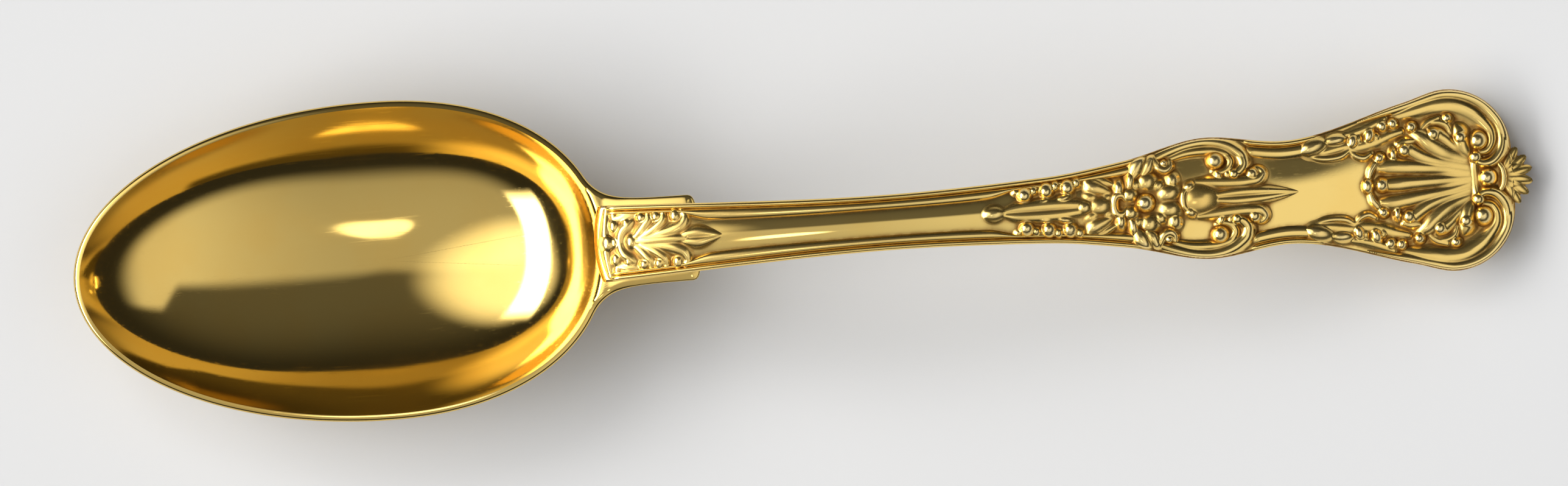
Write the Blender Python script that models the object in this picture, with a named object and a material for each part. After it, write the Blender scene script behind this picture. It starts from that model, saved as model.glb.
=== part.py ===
"""A silver-gilt table spoon with shell, scroll and leaf ornament, lying bowl up.

It is put together as a smith builds one up: a raised bowl with a tongue, a handle bar soldered
on the tongue, thread mouldings and scrolls of wire along the bar's edges, and cast mounts
soldered on the bar. Metres, +Z up. +X runs from the bowl's tip to the handle's end, and the
origin is on the ground under the middle of the spoon. Along the spoon, a place is a station:
its distance from the bowl's tip. Left and right are as seen from the bowl along the handle.
"""

import math

import bmesh
import bpy
import numpy as np
from mathutils import Matrix, Vector

MM = 0.001

# Bowl: an ellipse towards the tip and a fuller curve towards the heel
TIP_TO_WIDEST = 46 * MM
WIDEST_TO_HEEL = 34 * MM
BOWL_WIDTH = 47.8 * MM
BOWL_WALL = 1.5 * MM
RIM_TIP_HEIGHT = 13.4 * MM
HEEL_FULLNESS = 2.2
WALL_FULLNESS_AT_SIDES = 2.2
WALL_FULLNESS_AT_ENDS = 3.2
WORN_FLAT = 0.25 * MM

# Tongue of the bowl, under the bar
TONGUE_REACH = 14 * MM
TONGUE_WIDTH = 12.8 * MM
TONGUE_END_ROUND = 1.8 * MM
NECK_FLARE = 4.1 * MM
NECK_ROLL = 0.6 * MM

# Drop soldered under the heel
DROP_ON_BOWL = 17 * MM
DROP_WIDTH = 8.4 * MM
DROP_DEPTH = 1.9 * MM
DROP_FRONT_ROUND = 6 * MM
DROP_BACK_GAP = 1 * MM

# Handle bar along its length
HEEL_TO_SLIMMEST = 42 * MM
SLIMMEST_TO_SWELL = 24 * MM
SWELL_TO_LOBE_ROOT = 12 * MM
LOBE_ROOT_TO_CREST = 12.6 * MM
LOBE_CREST_TO_WAIST = 11.6 * MM
WAIST_TO_SHOULDER = 18.8 * MM
SHOULDER_TO_END_CREST = 6.4 * MM
END_CREST_TO_BAR_END = 9.6 * MM
FAN_REACH = 3 * MM

# Handle bar across
NECK_WIDTH = 11.4 * MM
SLIM_WIDTH = 8.3 * MM
SWELL_WIDTH = 9.9 * MM
LOBE_ROOT_WIDTH = 13 * MM
LOBE_WIDTH = 18.2 * MM
WAIST_WIDTH = 15.5 * MM
SHOULDER_WIDTH = 24.3 * MM
END_WIDTH = 27.4 * MM
END_FLAT_WIDTH = 9 * MM
CROWN = 0.5 * MM
BACK_DRAFT = 0.7 * MM

# Handle bar in side view: one cubic curve, and the thickness under it
ARCH_START_HEIGHT = 19.5 * MM
ARCH_START_PULL = (33 * MM, 12 * MM)
ARCH_END_PULL = (53 * MM, 15 * MM)
ARCH_END_HEIGHT = 3.1 * MM
NECK_THICKNESS = 2.8 * MM
SLIM_THICKNESS = 3.4 * MM
WAIST_THICKNESS = 2.6 * MM
END_THICKNESS = 2.4 * MM

# Mouldings, mounts and the solder under them
THREAD_BAND = 2.0 * MM
THREAD_HEIGHT = 0.55 * MM
THREAD_EDGE = 0.15 * MM
SCROLL_RADIUS = 0.7 * MM
SCROLL_INSET = 0.85 * MM
BALL_RADIUS = 1.1 * MM
BERRY_RADIUS = 0.9 * MM
RELIEF = 1.3 * MM
BALL_HEIGHT = 1.7 * MM
FORM_LAP = 1.5 * MM
SOLDER_GAP = 0.25 * MM
STEM_THREAD_FROM_HEEL = 4 * MM
STEM_THREAD_TO_LOBE = 1 * MM
WAIST_THREAD_REACH = 3.7 * MM

# Scrolls: where each starts, turns in and curls
LOBE_SCROLL_TO_CREST = 5 * MM
LOBE_TURN_PAST_CREST = 2.6 * MM
LOBE_EYE_PAST_CREST = 3 * MM
LOBE_EYE_INSET = 3.7 * MM
LOBE_CURL = (2.85 * MM, 2.0 * MM)
LOBE_CURL_DEGREES = (75, -70)
LOBE_BALL_BACK = 1.4 * MM
END_SCROLL_TO_CREST = 7.5 * MM
END_TURN_PAST_CREST = 6.6 * MM
END_EYE_PAST_CREST = 4.8 * MM
END_CURL = (4.3 * MM, 2.9 * MM)
END_CURL_DEGREES = (58, -92)
BOSS_TO_CURL = 1.4 * MM
BOSS_TO_BAR_END = 3.9 * MM

# Palmette at the neck, from the heel
PALMETTE_FOOT_REACH = 4 * MM
PALMETTE_LIP_REACH = 1.8 * MM
PALMETTE_LIP_WIDTH = 2.2 * MM
PALMETTE_SIDE_LIP = (0.6 * MM, 3 * MM)
PALMETTE_SIDE_LIP_WIDTH = 1.6 * MM
PALMETTE_SPINE_WIDTH = 3 * MM
PALMETTE_LEAF_REACHES = (5.6 * MM, 8.2 * MM, 10.9 * MM)
PALMETTE_LEAF_RAKE = 2.5 * MM
PALMETTE_LEAF_WIDTH = 1.7 * MM
PALMETTE_BUD_REACH = 17 * MM
PALMETTE_BUD_LENGTH = 6.5 * MM
PALMETTE_BUD_WIDTH = 2.6 * MM

# Husk spray, from its tip
HUSK_TIP_TO_LOBE_ROOT = 20.5 * MM
HUSK_TO_ROSETTE = 5.4 * MM
HUSK_WIDTH = 3.2 * MM
HUSK_BERRY_REACHES = (5.3 * MM, 8.8 * MM, 12.2 * MM)
HUSK_STALK = (2.6 * MM, 0.5 * MM)
HUSK_STALK_WIDTH = 1.4 * MM
HUSK_CROSS_REACH = 15.4 * MM
HUSK_CROSS_RAKE = 0.4 * MM
HUSK_CROSS_WIDTH = 2.2 * MM

# Rosette and the leaves over the edges beside it
LOBE_ROOT_TO_ROSETTE = 3 * MM
PETALS = 7
PETAL_INNER = 1.7 * MM
PETAL_OUTER = 4.3 * MM
PETAL_WIDTH = 3.2 * MM
ROSETTE_BOSS_HEIGHT = 1.9 * MM
WING_ROOT = (-1.2 * MM, 2.6 * MM)
WING_TIP_REACH = 2 * MM
WING_WIDTH = 2.2 * MM
WING_CURL = (2.6 * MM, 2.4 * MM)
WING_CURL_WIDTH = 1.8 * MM

# Leaves at the waist
BUD_TO_LOBE_CREST = 1.4 * MM
BUD_LENGTH = 5.2 * MM
BUD_WIDTH = 3.4 * MM
LONG_LEAF_PAST_WAIST = 1.4 * MM
LONG_LEAF_WIDTH = 2.2 * MM
SIDE_LEAF_ROOT_ACROSS = 0.5 * MM
SIDE_LEAF_TO_WAIST = 3.4 * MM
SIDE_LEAF_ACROSS = 3 * MM
SIDE_LEAF_WIDTH = 1.3 * MM

# Sprigs along the edges: each step is its reach from the start and its inset from the edge
WAIST_TO_SPRIG = 4.4 * MM
SPRIG_STEPS = ((1.6 * MM, 1.6 * MM), (4.2 * MM, 1.8 * MM), (6.8 * MM, 2.4 * MM), (9 * MM, 2.5 * MM))
SPRIG_START_INSET = 1.4 * MM
SPRIG_LEAF_WIDTH = 2 * MM
SPRIG_STALK_WIDTH = 1.4 * MM
SPRIG_BERRY_RADIUS = 1.1 * MM
SPRIG_TIP_REACH = 11.4 * MM
SPRIG_TIP_INSET = 2.2 * MM
SPRIG_TIP_WIDTH = 1.6 * MM

# Shell: each rib's tip is given from the hinge
END_CREST_TO_HINGE = 2.6 * MM
SHELL_RIBS = ((-13.4 * MM, 0), (-9.4 * MM, 4.5 * MM), (-4.8 * MM, 6.6 * MM), (-0.9 * MM, 5.8 * MM))
RIB_WIDTH = 2.3 * MM
RIB_HEIGHT = 1.5 * MM
RIB_LOBE_RADIUS = 1.2 * MM
HINGE_LENGTH = 2.4 * MM
HINGE_WIDTH = 4.4 * MM
SHELL_FRONT_LENGTH = 2.4 * MM
SHELL_FRONT_WIDTH = 2.2 * MM

# Fan at the very end
FAN_RAYS = 7
FAN_RAY_DEGREES = 20
FAN_IN_BAR = 1.2 * MM
RAY_ROOT = 0.8 * MM
RAY_WIDTH = 1.5 * MM
RAY_HEIGHT = 1 * MM

HEEL = TIP_TO_WIDEST + WIDEST_TO_HEEL
TONGUE_END = HEEL + TONGUE_REACH
SLIMMEST = HEEL + HEEL_TO_SLIMMEST
SWELL = SLIMMEST + SLIMMEST_TO_SWELL
LOBE_ROOT = SWELL + SWELL_TO_LOBE_ROOT
LOBE_CREST = LOBE_ROOT + LOBE_ROOT_TO_CREST
WAIST = LOBE_CREST + LOBE_CREST_TO_WAIST
SHOULDER = WAIST + WAIST_TO_SHOULDER
END_CREST = SHOULDER + SHOULDER_TO_END_CREST
BAR_END = END_CREST + END_CREST_TO_BAR_END
LENGTH = BAR_END + FAN_REACH
ROSETTE = LOBE_ROOT + LOBE_ROOT_TO_ROSETTE

LEFT, RIGHT = 1, -1
SIDES = (("left", LEFT), ("right", RIGHT))

for old in list(bpy.data.objects):
    bpy.data.objects.remove(old)
parts = bpy.data.collections.new("table_spoon")
cutters = bpy.data.collections.new("cutters")
bpy.context.scene.collection.children.link(parts)
bpy.context.scene.collection.children.link(cutters)


def gilt(name, colour, roughness):
    """Gold-plated silver: a metal with this colour and polish."""
    material = bpy.data.materials.new(name)
    material.use_nodes = True
    shader = material.node_tree.nodes["Principled BSDF"]
    shader.inputs["Base Color"].default_value = (*colour, 1)
    shader.inputs["Metallic"].default_value = 1
    shader.inputs["Roughness"].default_value = roughness
    return material


POLISHED = gilt("polished_gilt", (0.86, 0.62, 0.22), 0.08)
MOULDED = gilt("moulded_gilt", (0.82, 0.58, 0.2), 0.14)
CAST = gilt("cast_gilt", (0.8, 0.55, 0.18), 0.2)


def add(name, mesh, material):
    """Puts a mesh in the spoon as one smooth-shaded piece."""
    mesh.name = name
    mesh.materials.append(material)
    mesh.shade_smooth()
    mesh.set_sharp_from_angle(angle=math.radians(40))
    piece = bpy.data.objects.new(name, mesh)
    parts.objects.link(piece)
    return piece


def add_cutter(name, mesh):
    cutter = bpy.data.objects.new(name, mesh)
    cutter.hide_render = True
    cutter.display_type = "WIRE"
    cutters.objects.link(cutter)
    return cutter


def cut(piece, cutter):
    """Cuts a piece, whose overlapping shapes become one body at the same time."""
    modifier = piece.modifiers.new(cutter.name, "BOOLEAN")
    modifier.operation = "DIFFERENCE"
    modifier.object = cutter
    modifier.use_self = True


def mesh_of(shape):
    """The mesh of a bmesh, with its faces pointing out."""
    bmesh.ops.recalc_face_normals(shape, faces=shape.faces)
    mesh = bpy.data.meshes.new("shape")
    shape.to_mesh(mesh)
    shape.free()
    return mesh


def smooth_through(points, station):
    """Value at a station of a smooth curve through (station, value) points, with no overshoot."""
    places, values = np.array(points).T
    steps = np.diff(places)
    slopes = np.diff(values) / steps
    tangents = np.concatenate([slopes[:1], np.zeros(len(slopes) - 1), slopes[-1:]])
    for i in range(1, len(slopes)):
        if slopes[i - 1] * slopes[i] > 0:
            near = 2 * steps[i] + steps[i - 1]
            far = steps[i] + 2 * steps[i - 1]
            tangents[i] = (near + far) / (near / slopes[i - 1] + far / slopes[i])
    i = int(np.clip(np.searchsorted(places, station) - 1, 0, len(steps) - 1))
    t = (station - places[i]) / steps[i]
    return (
        (1 + 2 * t) * (1 - t) ** 2 * values[i]
        + t * (1 - t) ** 2 * steps[i] * tangents[i]
        + t**2 * (3 - 2 * t) * values[i + 1]
        + t**2 * (t - 1) * steps[i] * tangents[i + 1]
    )


def half_width(station):
    """Half the bar's width: slim behind the neck, two lobes, a waist, and a broad round end."""
    if station > END_CREST:
        share = min((station - END_CREST) / END_CREST_TO_BAR_END, 1)
        return (END_FLAT_WIDTH + (END_WIDTH - END_FLAT_WIDTH) * math.sqrt(1 - share**2)) / 2
    widths = (
        (HEEL, NECK_WIDTH),
        (SLIMMEST, SLIM_WIDTH),
        (SWELL, SWELL_WIDTH),
        (LOBE_ROOT, LOBE_ROOT_WIDTH),
        (LOBE_CREST, LOBE_WIDTH),
        (WAIST, WAIST_WIDTH),
        (SHOULDER, SHOULDER_WIDTH),
        (END_CREST, END_WIDTH),
        (BAR_END, END_FLAT_WIDTH),
    )
    return smooth_through(widths, max(station, HEEL)) / 2


ARCH_T = np.linspace(0, 1, 401)
ARCH_POINTS = np.array(
    [
        (HEEL, ARCH_START_HEIGHT),
        (HEEL + ARCH_START_PULL[0], ARCH_START_HEIGHT + ARCH_START_PULL[1]),
        (BAR_END - ARCH_END_PULL[0], ARCH_END_HEIGHT + ARCH_END_PULL[1]),
        (BAR_END, ARCH_END_HEIGHT),
    ]
)
ARCH_SHARES = np.array(
    [(1 - ARCH_T) ** 3, 3 * ARCH_T * (1 - ARCH_T) ** 2, 3 * ARCH_T**2 * (1 - ARCH_T), ARCH_T**3]
)
ARCH_LINE = ARCH_SHARES.T @ ARCH_POINTS


def arch(station):
    """Height of the bar's top line, straight on past both its ends."""
    inside = float(np.clip(station, HEEL, BAR_END))
    height = float(np.interp(inside, ARCH_LINE[:, 0], ARCH_LINE[:, 1]))
    pull = ARCH_START_PULL if station < HEEL else (ARCH_END_PULL[0], -ARCH_END_PULL[1])
    return height + (station - inside) * pull[1] / pull[0]


def bar_thickness(station):
    thicknesses = (
        (HEEL, NECK_THICKNESS),
        (SLIMMEST, SLIM_THICKNESS),
        (WAIST, WAIST_THICKNESS),
        (BAR_END, END_THICKNESS),
    )
    return smooth_through(thicknesses, float(np.clip(station, HEEL, BAR_END)))


def panel(station):
    """Half the width of the crowned panel between the thread mouldings."""
    return half_width(station) - THREAD_BAND


def bed(station, across):
    """Height of the bar's top face: flat under the mouldings and crowned between them."""
    share = min(abs(across) / panel(station), 1)
    return arch(station) + CROWN * (1 - share**2)


def place(station, across, height):
    return Vector((station - LENGTH / 2, across, height))


def solid_between(sheet, plan, under, over, draft=0):
    """Closes a sheet into a solid: it is extruded, and its two faces shaped by two surfaces.

    plan gives the station and the place across of a point of the sheet, and the underside is
    drawn in by draft.
    """
    upper = list(sheet.verts)
    extruded = bmesh.ops.extrude_face_region(sheet, geom=list(sheet.faces), use_keep_orig=True)
    for found in extruded["geom"]:
        if isinstance(found, bmesh.types.BMVert):
            station, across = plan(found.co)
            drawn_in = math.copysign(max(abs(across) - draft, 0), across)
            found.co = place(station, drawn_in, under(station, across))
    for vertex in upper:
        station, across = plan(vertex.co)
        vertex.co = place(station, across, over(station, across))
    return mesh_of(sheet)


def slab(stations, columns, under, over, draft=0):
    """A long solid on a grid, where columns(station) gives the places across."""
    across = len(columns(stations[0]))

    def plan(point):
        station = stations[round((point.x + 0.5) * (len(stations) - 1))]
        return station, columns(station)[round((point.y + 0.5) * (across - 1))]

    sheet = bmesh.new()
    bmesh.ops.create_grid(sheet, x_segments=len(stations) - 1, y_segments=across - 1, size=0.5)
    return solid_between(sheet, plan, under, over, draft)


def spaced(start, end, count):
    return [start + (end - start) * i / count for i in range(count + 1)]


def crowded_to_end(start, end, count):
    """Stations that crowd towards the end, where the bar rounds off."""
    return [end - (end - start) * (1 - i / count) ** 1.6 for i in range(count + 1)]


# Handle bar
def bar_columns(station):
    edge = half_width(station)
    inner = panel(station)
    return (-edge, -inner, -inner / 2, 0, inner / 2, inner, edge)


def bar_back(station, across):
    return max(arch(station) - bar_thickness(station), 0)


bar_mesh = slab(crowded_to_end(HEEL, BAR_END, 56), bar_columns, bar_back, bed, BACK_DRAFT)
add("handle_bar", bar_mesh, POLISHED)

BED_HALF_WIDTH = END_WIDTH
BED_DEPTH = 12 * MM


def bed_columns(station):
    return (-BED_HALF_WIDTH, *bar_columns(station), BED_HALF_WIDTH)


def solder_line(station, across):
    return bed(station, across) + SOLDER_GAP


def below_bed(station, across):
    return arch(station) - BED_DEPTH


BED_STATIONS = spaced(HEEL - TONGUE_REACH, HEEL, 4)[:-1] + crowded_to_end(HEEL, BAR_END, 56)
BED_STATIONS += [BAR_END + FAN_REACH, LENGTH + FAN_REACH]
bed_cutter = add_cutter("bed_cutter", slab(BED_STATIONS, bed_columns, below_bed, solder_line))


# Bowl with its tongue
def egg_reach(angle):
    """Distance from the bowl's widest place to its rim, in this direction."""
    along = WIDEST_TO_HEEL if math.cos(angle) > 0 else TIP_TO_WIDEST
    power = HEEL_FULLNESS if math.cos(angle) > 0 else 2
    share = abs(math.cos(angle) / along) ** power
    share += abs(math.sin(angle) / (BOWL_WIDTH / 2)) ** power
    return share ** (-1 / power)


def egg_half_width(station):
    along = station - TIP_TO_WIDEST
    power = HEEL_FULLNESS if along > 0 else 2
    share = abs(along) / (WIDEST_TO_HEEL if along > 0 else TIP_TO_WIDEST)
    return BOWL_WIDTH / 2 * max(1 - share**power, 0) ** (1 / power)


NECK_JOIN_SHARE = (1 - ((TONGUE_WIDTH / 2 + NECK_FLARE) / (BOWL_WIDTH / 2)) ** HEEL_FULLNESS) ** (
    1 / HEEL_FULLNESS
)
NECK_JOIN = TIP_TO_WIDEST + WIDEST_TO_HEEL * NECK_JOIN_SHARE


def neck_half_width(station):
    """The tongue with its round end, which flares into the bowl's outline and meets it smoothly."""
    past_join = 1 - NECK_JOIN_SHARE**HEEL_FULLNESS
    fall = NECK_JOIN_SHARE ** (HEEL_FULLNESS - 1) * past_join ** (1 / HEEL_FULLNESS - 1)
    fall *= BOWL_WIDTH / 2 / WIDEST_TO_HEEL
    flare = NECK_FLARE * math.exp((NECK_JOIN - station) * fall / NECK_FLARE)
    past = max(station - (TONGUE_END - TONGUE_END_ROUND), 0) / TONGUE_END_ROUND
    return (TONGUE_WIDTH / 2 + flare) * max(1 - past**4, 0) ** 0.25


def rim_half_width(station):
    return egg_half_width(station) if station < NECK_JOIN else neck_half_width(station)


def rim_points(count):
    """Points of half the outline, from the tongue's end to the tip, closer together on the neck."""
    turns = np.linspace(0, math.pi, 1500)
    stations = TONGUE_END / 2 * (1 + np.cos(turns))
    halves = np.array([rim_half_width(float(station)) for station in stations])
    stations = np.concatenate([[TONGUE_END], stations])
    halves = np.concatenate([[0], halves])
    lengths = np.hypot(np.diff(stations), np.diff(halves))
    lengths *= np.where(stations[1:] > HEEL - TONGUE_REACH / 2, 2.2, 1)
    along = np.concatenate([[0], np.cumsum(lengths)])
    wanted = np.linspace(0, along[-1], count + 1)
    return list(zip(np.interp(wanted, along, stations), np.interp(wanted, along, halves)))


def tongue_under(station):
    """Height of the tongue's underside: its wall and the solder lie between it and the bar."""
    return arch(max(station, HEEL)) - bar_thickness(station) - SOLDER_GAP - BOWL_WALL


def bowl_under(station, across):
    """Height of the bowl's outside, rolling over at the neck into the underside of the tongue."""
    along = station - TIP_TO_WIDEST
    angle = math.atan2(across, along)
    reach = egg_reach(angle)
    rim_station = TIP_TO_WIDEST + reach * math.cos(angle)
    rim = RIM_TIP_HEIGHT + (tongue_under(HEEL) - RIM_TIP_HEIGHT) * (rim_station / HEEL) ** 1.5
    fullness = WALL_FULLNESS_AT_SIDES
    fullness += (WALL_FULLNESS_AT_ENDS - WALL_FULLNESS_AT_SIDES) * math.cos(angle) ** 2
    wall = (rim + WORN_FLAT) * (math.hypot(along, across) / reach) ** fullness - WORN_FLAT
    over = (wall - tongue_under(station)) / NECK_ROLL
    return wall - NECK_ROLL * (math.log1p(math.exp(-abs(over))) + max(over, 0))


BOWL_RAYS, BOWL_RINGS = 60, 11


def bowl_solid(under, over):
    """A solid with the bowl's outline, on the rays and rings of half a sphere."""
    outline = rim_points(BOWL_RAYS // 2)

    def plan(point):
        ray = round(math.atan2(point.y, point.x) / (2 * math.pi) * BOWL_RAYS)
        ring = math.acos(max(min(-point.z, 1), -1)) / (math.pi / 2)
        station, across = outline[abs(ray)]
        return TIP_TO_WIDEST + (station - TIP_TO_WIDEST) * ring, math.copysign(across, ray) * ring

    sheet = bmesh.new()
    bmesh.ops.create_uvsphere(sheet, u_segments=BOWL_RAYS, v_segments=2 * BOWL_RINGS, radius=1)
    upper_half = [vertex for vertex in sheet.verts if vertex.co.z > MM]
    bmesh.ops.delete(sheet, geom=upper_half, context="VERTS")
    return solid_between(sheet, plan, under, over)


def bowl_rest(station, across):
    return max(bowl_under(station, across), 0)


def bowl_inside(station, across):
    return bowl_under(station, across) + BOWL_WALL


def under_solder(station, across):
    return bowl_under(station, across) - SOLDER_GAP


def over_handle(station, across):
    return ARCH_START_HEIGHT + ARCH_START_PULL[1]


add("bowl", bowl_solid(bowl_rest, bowl_inside), POLISHED)
bowl_plug = add_cutter("bowl_plug", bowl_solid(under_solder, over_handle))


# Drop under the heel: a tongue of metal that follows the bowl's outside and thins out behind
DROP_START = HEEL - DROP_ON_BOWL
DROP_SHARES = (-1, -0.75, -0.4, 0, 0.4, 0.75, 1)


def drop_columns(station):
    before = max(DROP_START + DROP_FRONT_ROUND - station, 0) / DROP_FRONT_ROUND
    half = DROP_WIDTH / 2 * math.sqrt(1 - 0.96 * before**2)
    return tuple(share * half for share in DROP_SHARES)


def drop_back(station, across):
    half = drop_columns(station)[-1]
    thin = 1 - 0.75 * max(station - HEEL, 0) / TONGUE_REACH
    crown = 0.15 + 0.85 * (1 - (across / half) ** 2)
    depth = DROP_DEPTH * thin * crown * 2 * half / DROP_WIDTH
    return under_solder(station, across) - SOLDER_GAP - depth


drop_stations = spaced(DROP_START, DROP_START + DROP_FRONT_ROUND, 6)
drop_stations += spaced(DROP_START + DROP_FRONT_ROUND, TONGUE_END - DROP_BACK_GAP, 14)[1:]
drop_mesh = slab(drop_stations, drop_columns, drop_back, bowl_inside)
cut(add("heel_drop", drop_mesh, POLISHED), bowl_plug)


# Thread mouldings: two round reeds side by side along the bar's edge
REED_SHARES = (0, 0.08, 0.2, 0.33, 0.41, 0.53, 0.7, 0.88, 1)
REED_HEIGHTS = (0.2, 0.8, 1, 0.75, 0.2, 0.8, 1, 0.8, 0.2)


def thread_moulding(name, side, start, end, count):
    def columns(station):
        outer = half_width(station) - THREAD_EDGE
        width = THREAD_BAND - THREAD_EDGE - SOLDER_GAP
        return sorted(side * (outer - share * width) for share in REED_SHARES)

    def reed_top(station, across):
        outer = half_width(station) - THREAD_EDGE
        share = (outer - abs(across)) / (THREAD_BAND - THREAD_EDGE - SOLDER_GAP)
        raised = THREAD_HEIGHT * float(np.interp(share, REED_SHARES, REED_HEIGHTS))
        return arch(station) + SOLDER_GAP + raised

    def reed_foot(station, across):
        return arch(station) + SOLDER_GAP

    mesh = slab(spaced(start, end, count), columns, reed_foot, reed_top)
    add(name, mesh, MOULDED)


for side_name, side in SIDES:
    stem = (HEEL + STEM_THREAD_FROM_HEEL, LOBE_ROOT - STEM_THREAD_TO_LOBE)
    waist = (WAIST - WAIST_THREAD_REACH, WAIST + WAIST_THREAD_REACH)
    thread_moulding(f"{side_name}_stem_thread", side, *stem, 26)
    thread_moulding(f"{side_name}_waist_thread", side, *waist, 4)


# Scrolls: wires laid along the edge that curl in round a ball
def scroll(name, side, run, eye, curl, degrees):
    """run holds the stations where it starts on the edge and turns in; eye is the curl's middle.

    curl and degrees give the curl's first and last radius and angle.
    """
    path = [(station, half_width(station) - SCROLL_INSET) for station in spaced(*run, 12)]
    for i in range(13):
        angle = math.radians(degrees[0] + (degrees[1] - degrees[0]) * i / 12)
        radius = curl[0] + (curl[1] - curl[0]) * i / 12
        path.append((eye[0] + radius * math.cos(angle), eye[1] + radius * math.sin(angle)))
    curve = bpy.data.curves.new(name, "CURVE")
    curve.dimensions = "3D"
    curve.bevel_depth = SCROLL_RADIUS
    curve.bevel_resolution = 2
    curve.use_fill_caps = True
    spline = curve.splines.new("POLY")
    spline.points.add(len(path) - 1)
    for i, (point, (station, across)) in enumerate(zip(spline.points, path)):
        slim = 1 - 0.35 * i / len(path)
        height = bed(station, across) + SOLDER_GAP + SCROLL_RADIUS
        point.co = (*place(station, side * across, height), 1)
        point.radius = slim
    curve.materials.append(MOULDED)
    parts.objects.link(bpy.data.objects.new(name, curve))


LOBE_EYE = (LOBE_CREST + LOBE_EYE_PAST_CREST, LOBE_WIDTH / 2 - LOBE_EYE_INSET)
LOBE_RUN = (LOBE_CREST - LOBE_SCROLL_TO_CREST, LOBE_CREST + LOBE_TURN_PAST_CREST)
END_EYE = (END_CREST + END_EYE_PAST_CREST, BALL_RADIUS + BOSS_TO_CURL + END_CURL[1])
END_RUN = (END_CREST - END_SCROLL_TO_CREST, END_CREST + END_TURN_PAST_CREST)
for side_name, side in SIDES:
    scroll(f"{side_name}_lobe_scroll", side, LOBE_RUN, LOBE_EYE, LOBE_CURL, LOBE_CURL_DEGREES)
    scroll(f"{side_name}_end_scroll", side, END_RUN, END_EYE, END_CURL, END_CURL_DEGREES)


# Cast mounts: beads and leaves run together into one relief
def ellipsoid(shapes, station, across, length, width, height, angle=0, taper=0):
    """One soft form on the bed. taper narrows it towards its tip and widens its root."""
    form = bmesh.ops.create_uvsphere(shapes, u_segments=8, v_segments=6, radius=1)["verts"]
    for vertex in form:
        vertex.co.y *= 1 - taper * vertex.co.x
    turn = Matrix.Rotation(angle, 4, "Z")
    matrix = Matrix.Translation((station, across, 0)) @ turn
    matrix @= Matrix.Diagonal((length / 2, width / 2, height, 1))
    bmesh.ops.transform(shapes, matrix=matrix, verts=form)


def bead(shapes, station, across, radius, height=RELIEF):
    ellipsoid(shapes, station, across, 2 * radius, 2 * radius, height)


def leaf(shapes, root, tip, width, height=RELIEF, taper=0.35):
    run = Vector(tip) - Vector(root)
    middle = (Vector(tip) + Vector(root)) / 2
    angle = math.atan2(run.y, run.x)
    ellipsoid(shapes, middle.x, middle.y, run.length, width, height, angle, taper)


def mount(name, shapes):
    """Lays the forms on the crowned bed and cuts them off at the solder."""
    for vertex in shapes.verts:
        station, across, height = vertex.co
        vertex.co = place(station, across, bed(station, across) + height)
    cut(add(name, mesh_of(shapes), CAST), bed_cutter)


# Palmette at the neck: three curled leaves a side, a bud between them and a beaded foot
palmette = bmesh.new()
PALMETTE_FOOT = (HEEL + PALMETTE_FOOT_REACH, 0)
PALMETTE_BUD_ROOT = HEEL + PALMETTE_BUD_REACH - PALMETTE_BUD_LENGTH
spine_root = (PALMETTE_FOOT[0] - FORM_LAP, 0)
leaf(palmette, spine_root, (PALMETTE_BUD_ROOT + FORM_LAP, 0), PALMETTE_SPINE_WIDTH)
bud_tip = (HEEL + PALMETTE_BUD_REACH, 0)
leaf(palmette, (PALMETTE_BUD_ROOT, 0), bud_tip, PALMETTE_BUD_WIDTH, taper=0.6)
leaf(palmette, PALMETTE_FOOT, (HEEL - PALMETTE_LIP_REACH, 0), PALMETTE_LIP_WIDTH, taper=-0.1)
for side in (LEFT, RIGHT):
    side_lip = (HEEL + PALMETTE_SIDE_LIP[0], side * PALMETTE_SIDE_LIP[1])
    leaf(palmette, PALMETTE_FOOT, side_lip, PALMETTE_SIDE_LIP_WIDTH)
    for reach in PALMETTE_LEAF_REACHES:
        root = (PALMETTE_FOOT[0] + reach / 2 - PALMETTE_LEAF_RAKE, 0)
        tip = (HEEL + reach, side * (panel(HEEL + reach) - BERRY_RADIUS))
        leaf(palmette, root, tip, PALMETTE_LEAF_WIDTH, taper=0.1)
        bead(palmette, *tip, BERRY_RADIUS)
mount("neck_palmette", palmette)

# Husk spray below the rosette: a long leaf with three berries a side
husk = bmesh.new()
HUSK_TIP = LOBE_ROOT - HUSK_TIP_TO_LOBE_ROOT
leaf(husk, (ROSETTE - HUSK_TO_ROSETTE, 0), (HUSK_TIP, 0), HUSK_WIDTH)
for side in (LEFT, RIGHT):
    for reach in HUSK_BERRY_REACHES:
        station = HUSK_TIP + reach
        berry = (station, side * (panel(station) - BERRY_RADIUS))
        stalk_root = (station + HUSK_STALK[0], side * HUSK_STALK[1])
        leaf(husk, stalk_root, berry, HUSK_STALK_WIDTH, taper=0)
        bead(husk, *berry, BERRY_RADIUS)
    station = HUSK_TIP + HUSK_CROSS_REACH
    cross_tip = (station, side * panel(station))
    leaf(husk, (station + HUSK_CROSS_RAKE, 0), cross_tip, HUSK_CROSS_WIDTH)
mount("husk_spray", husk)

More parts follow.
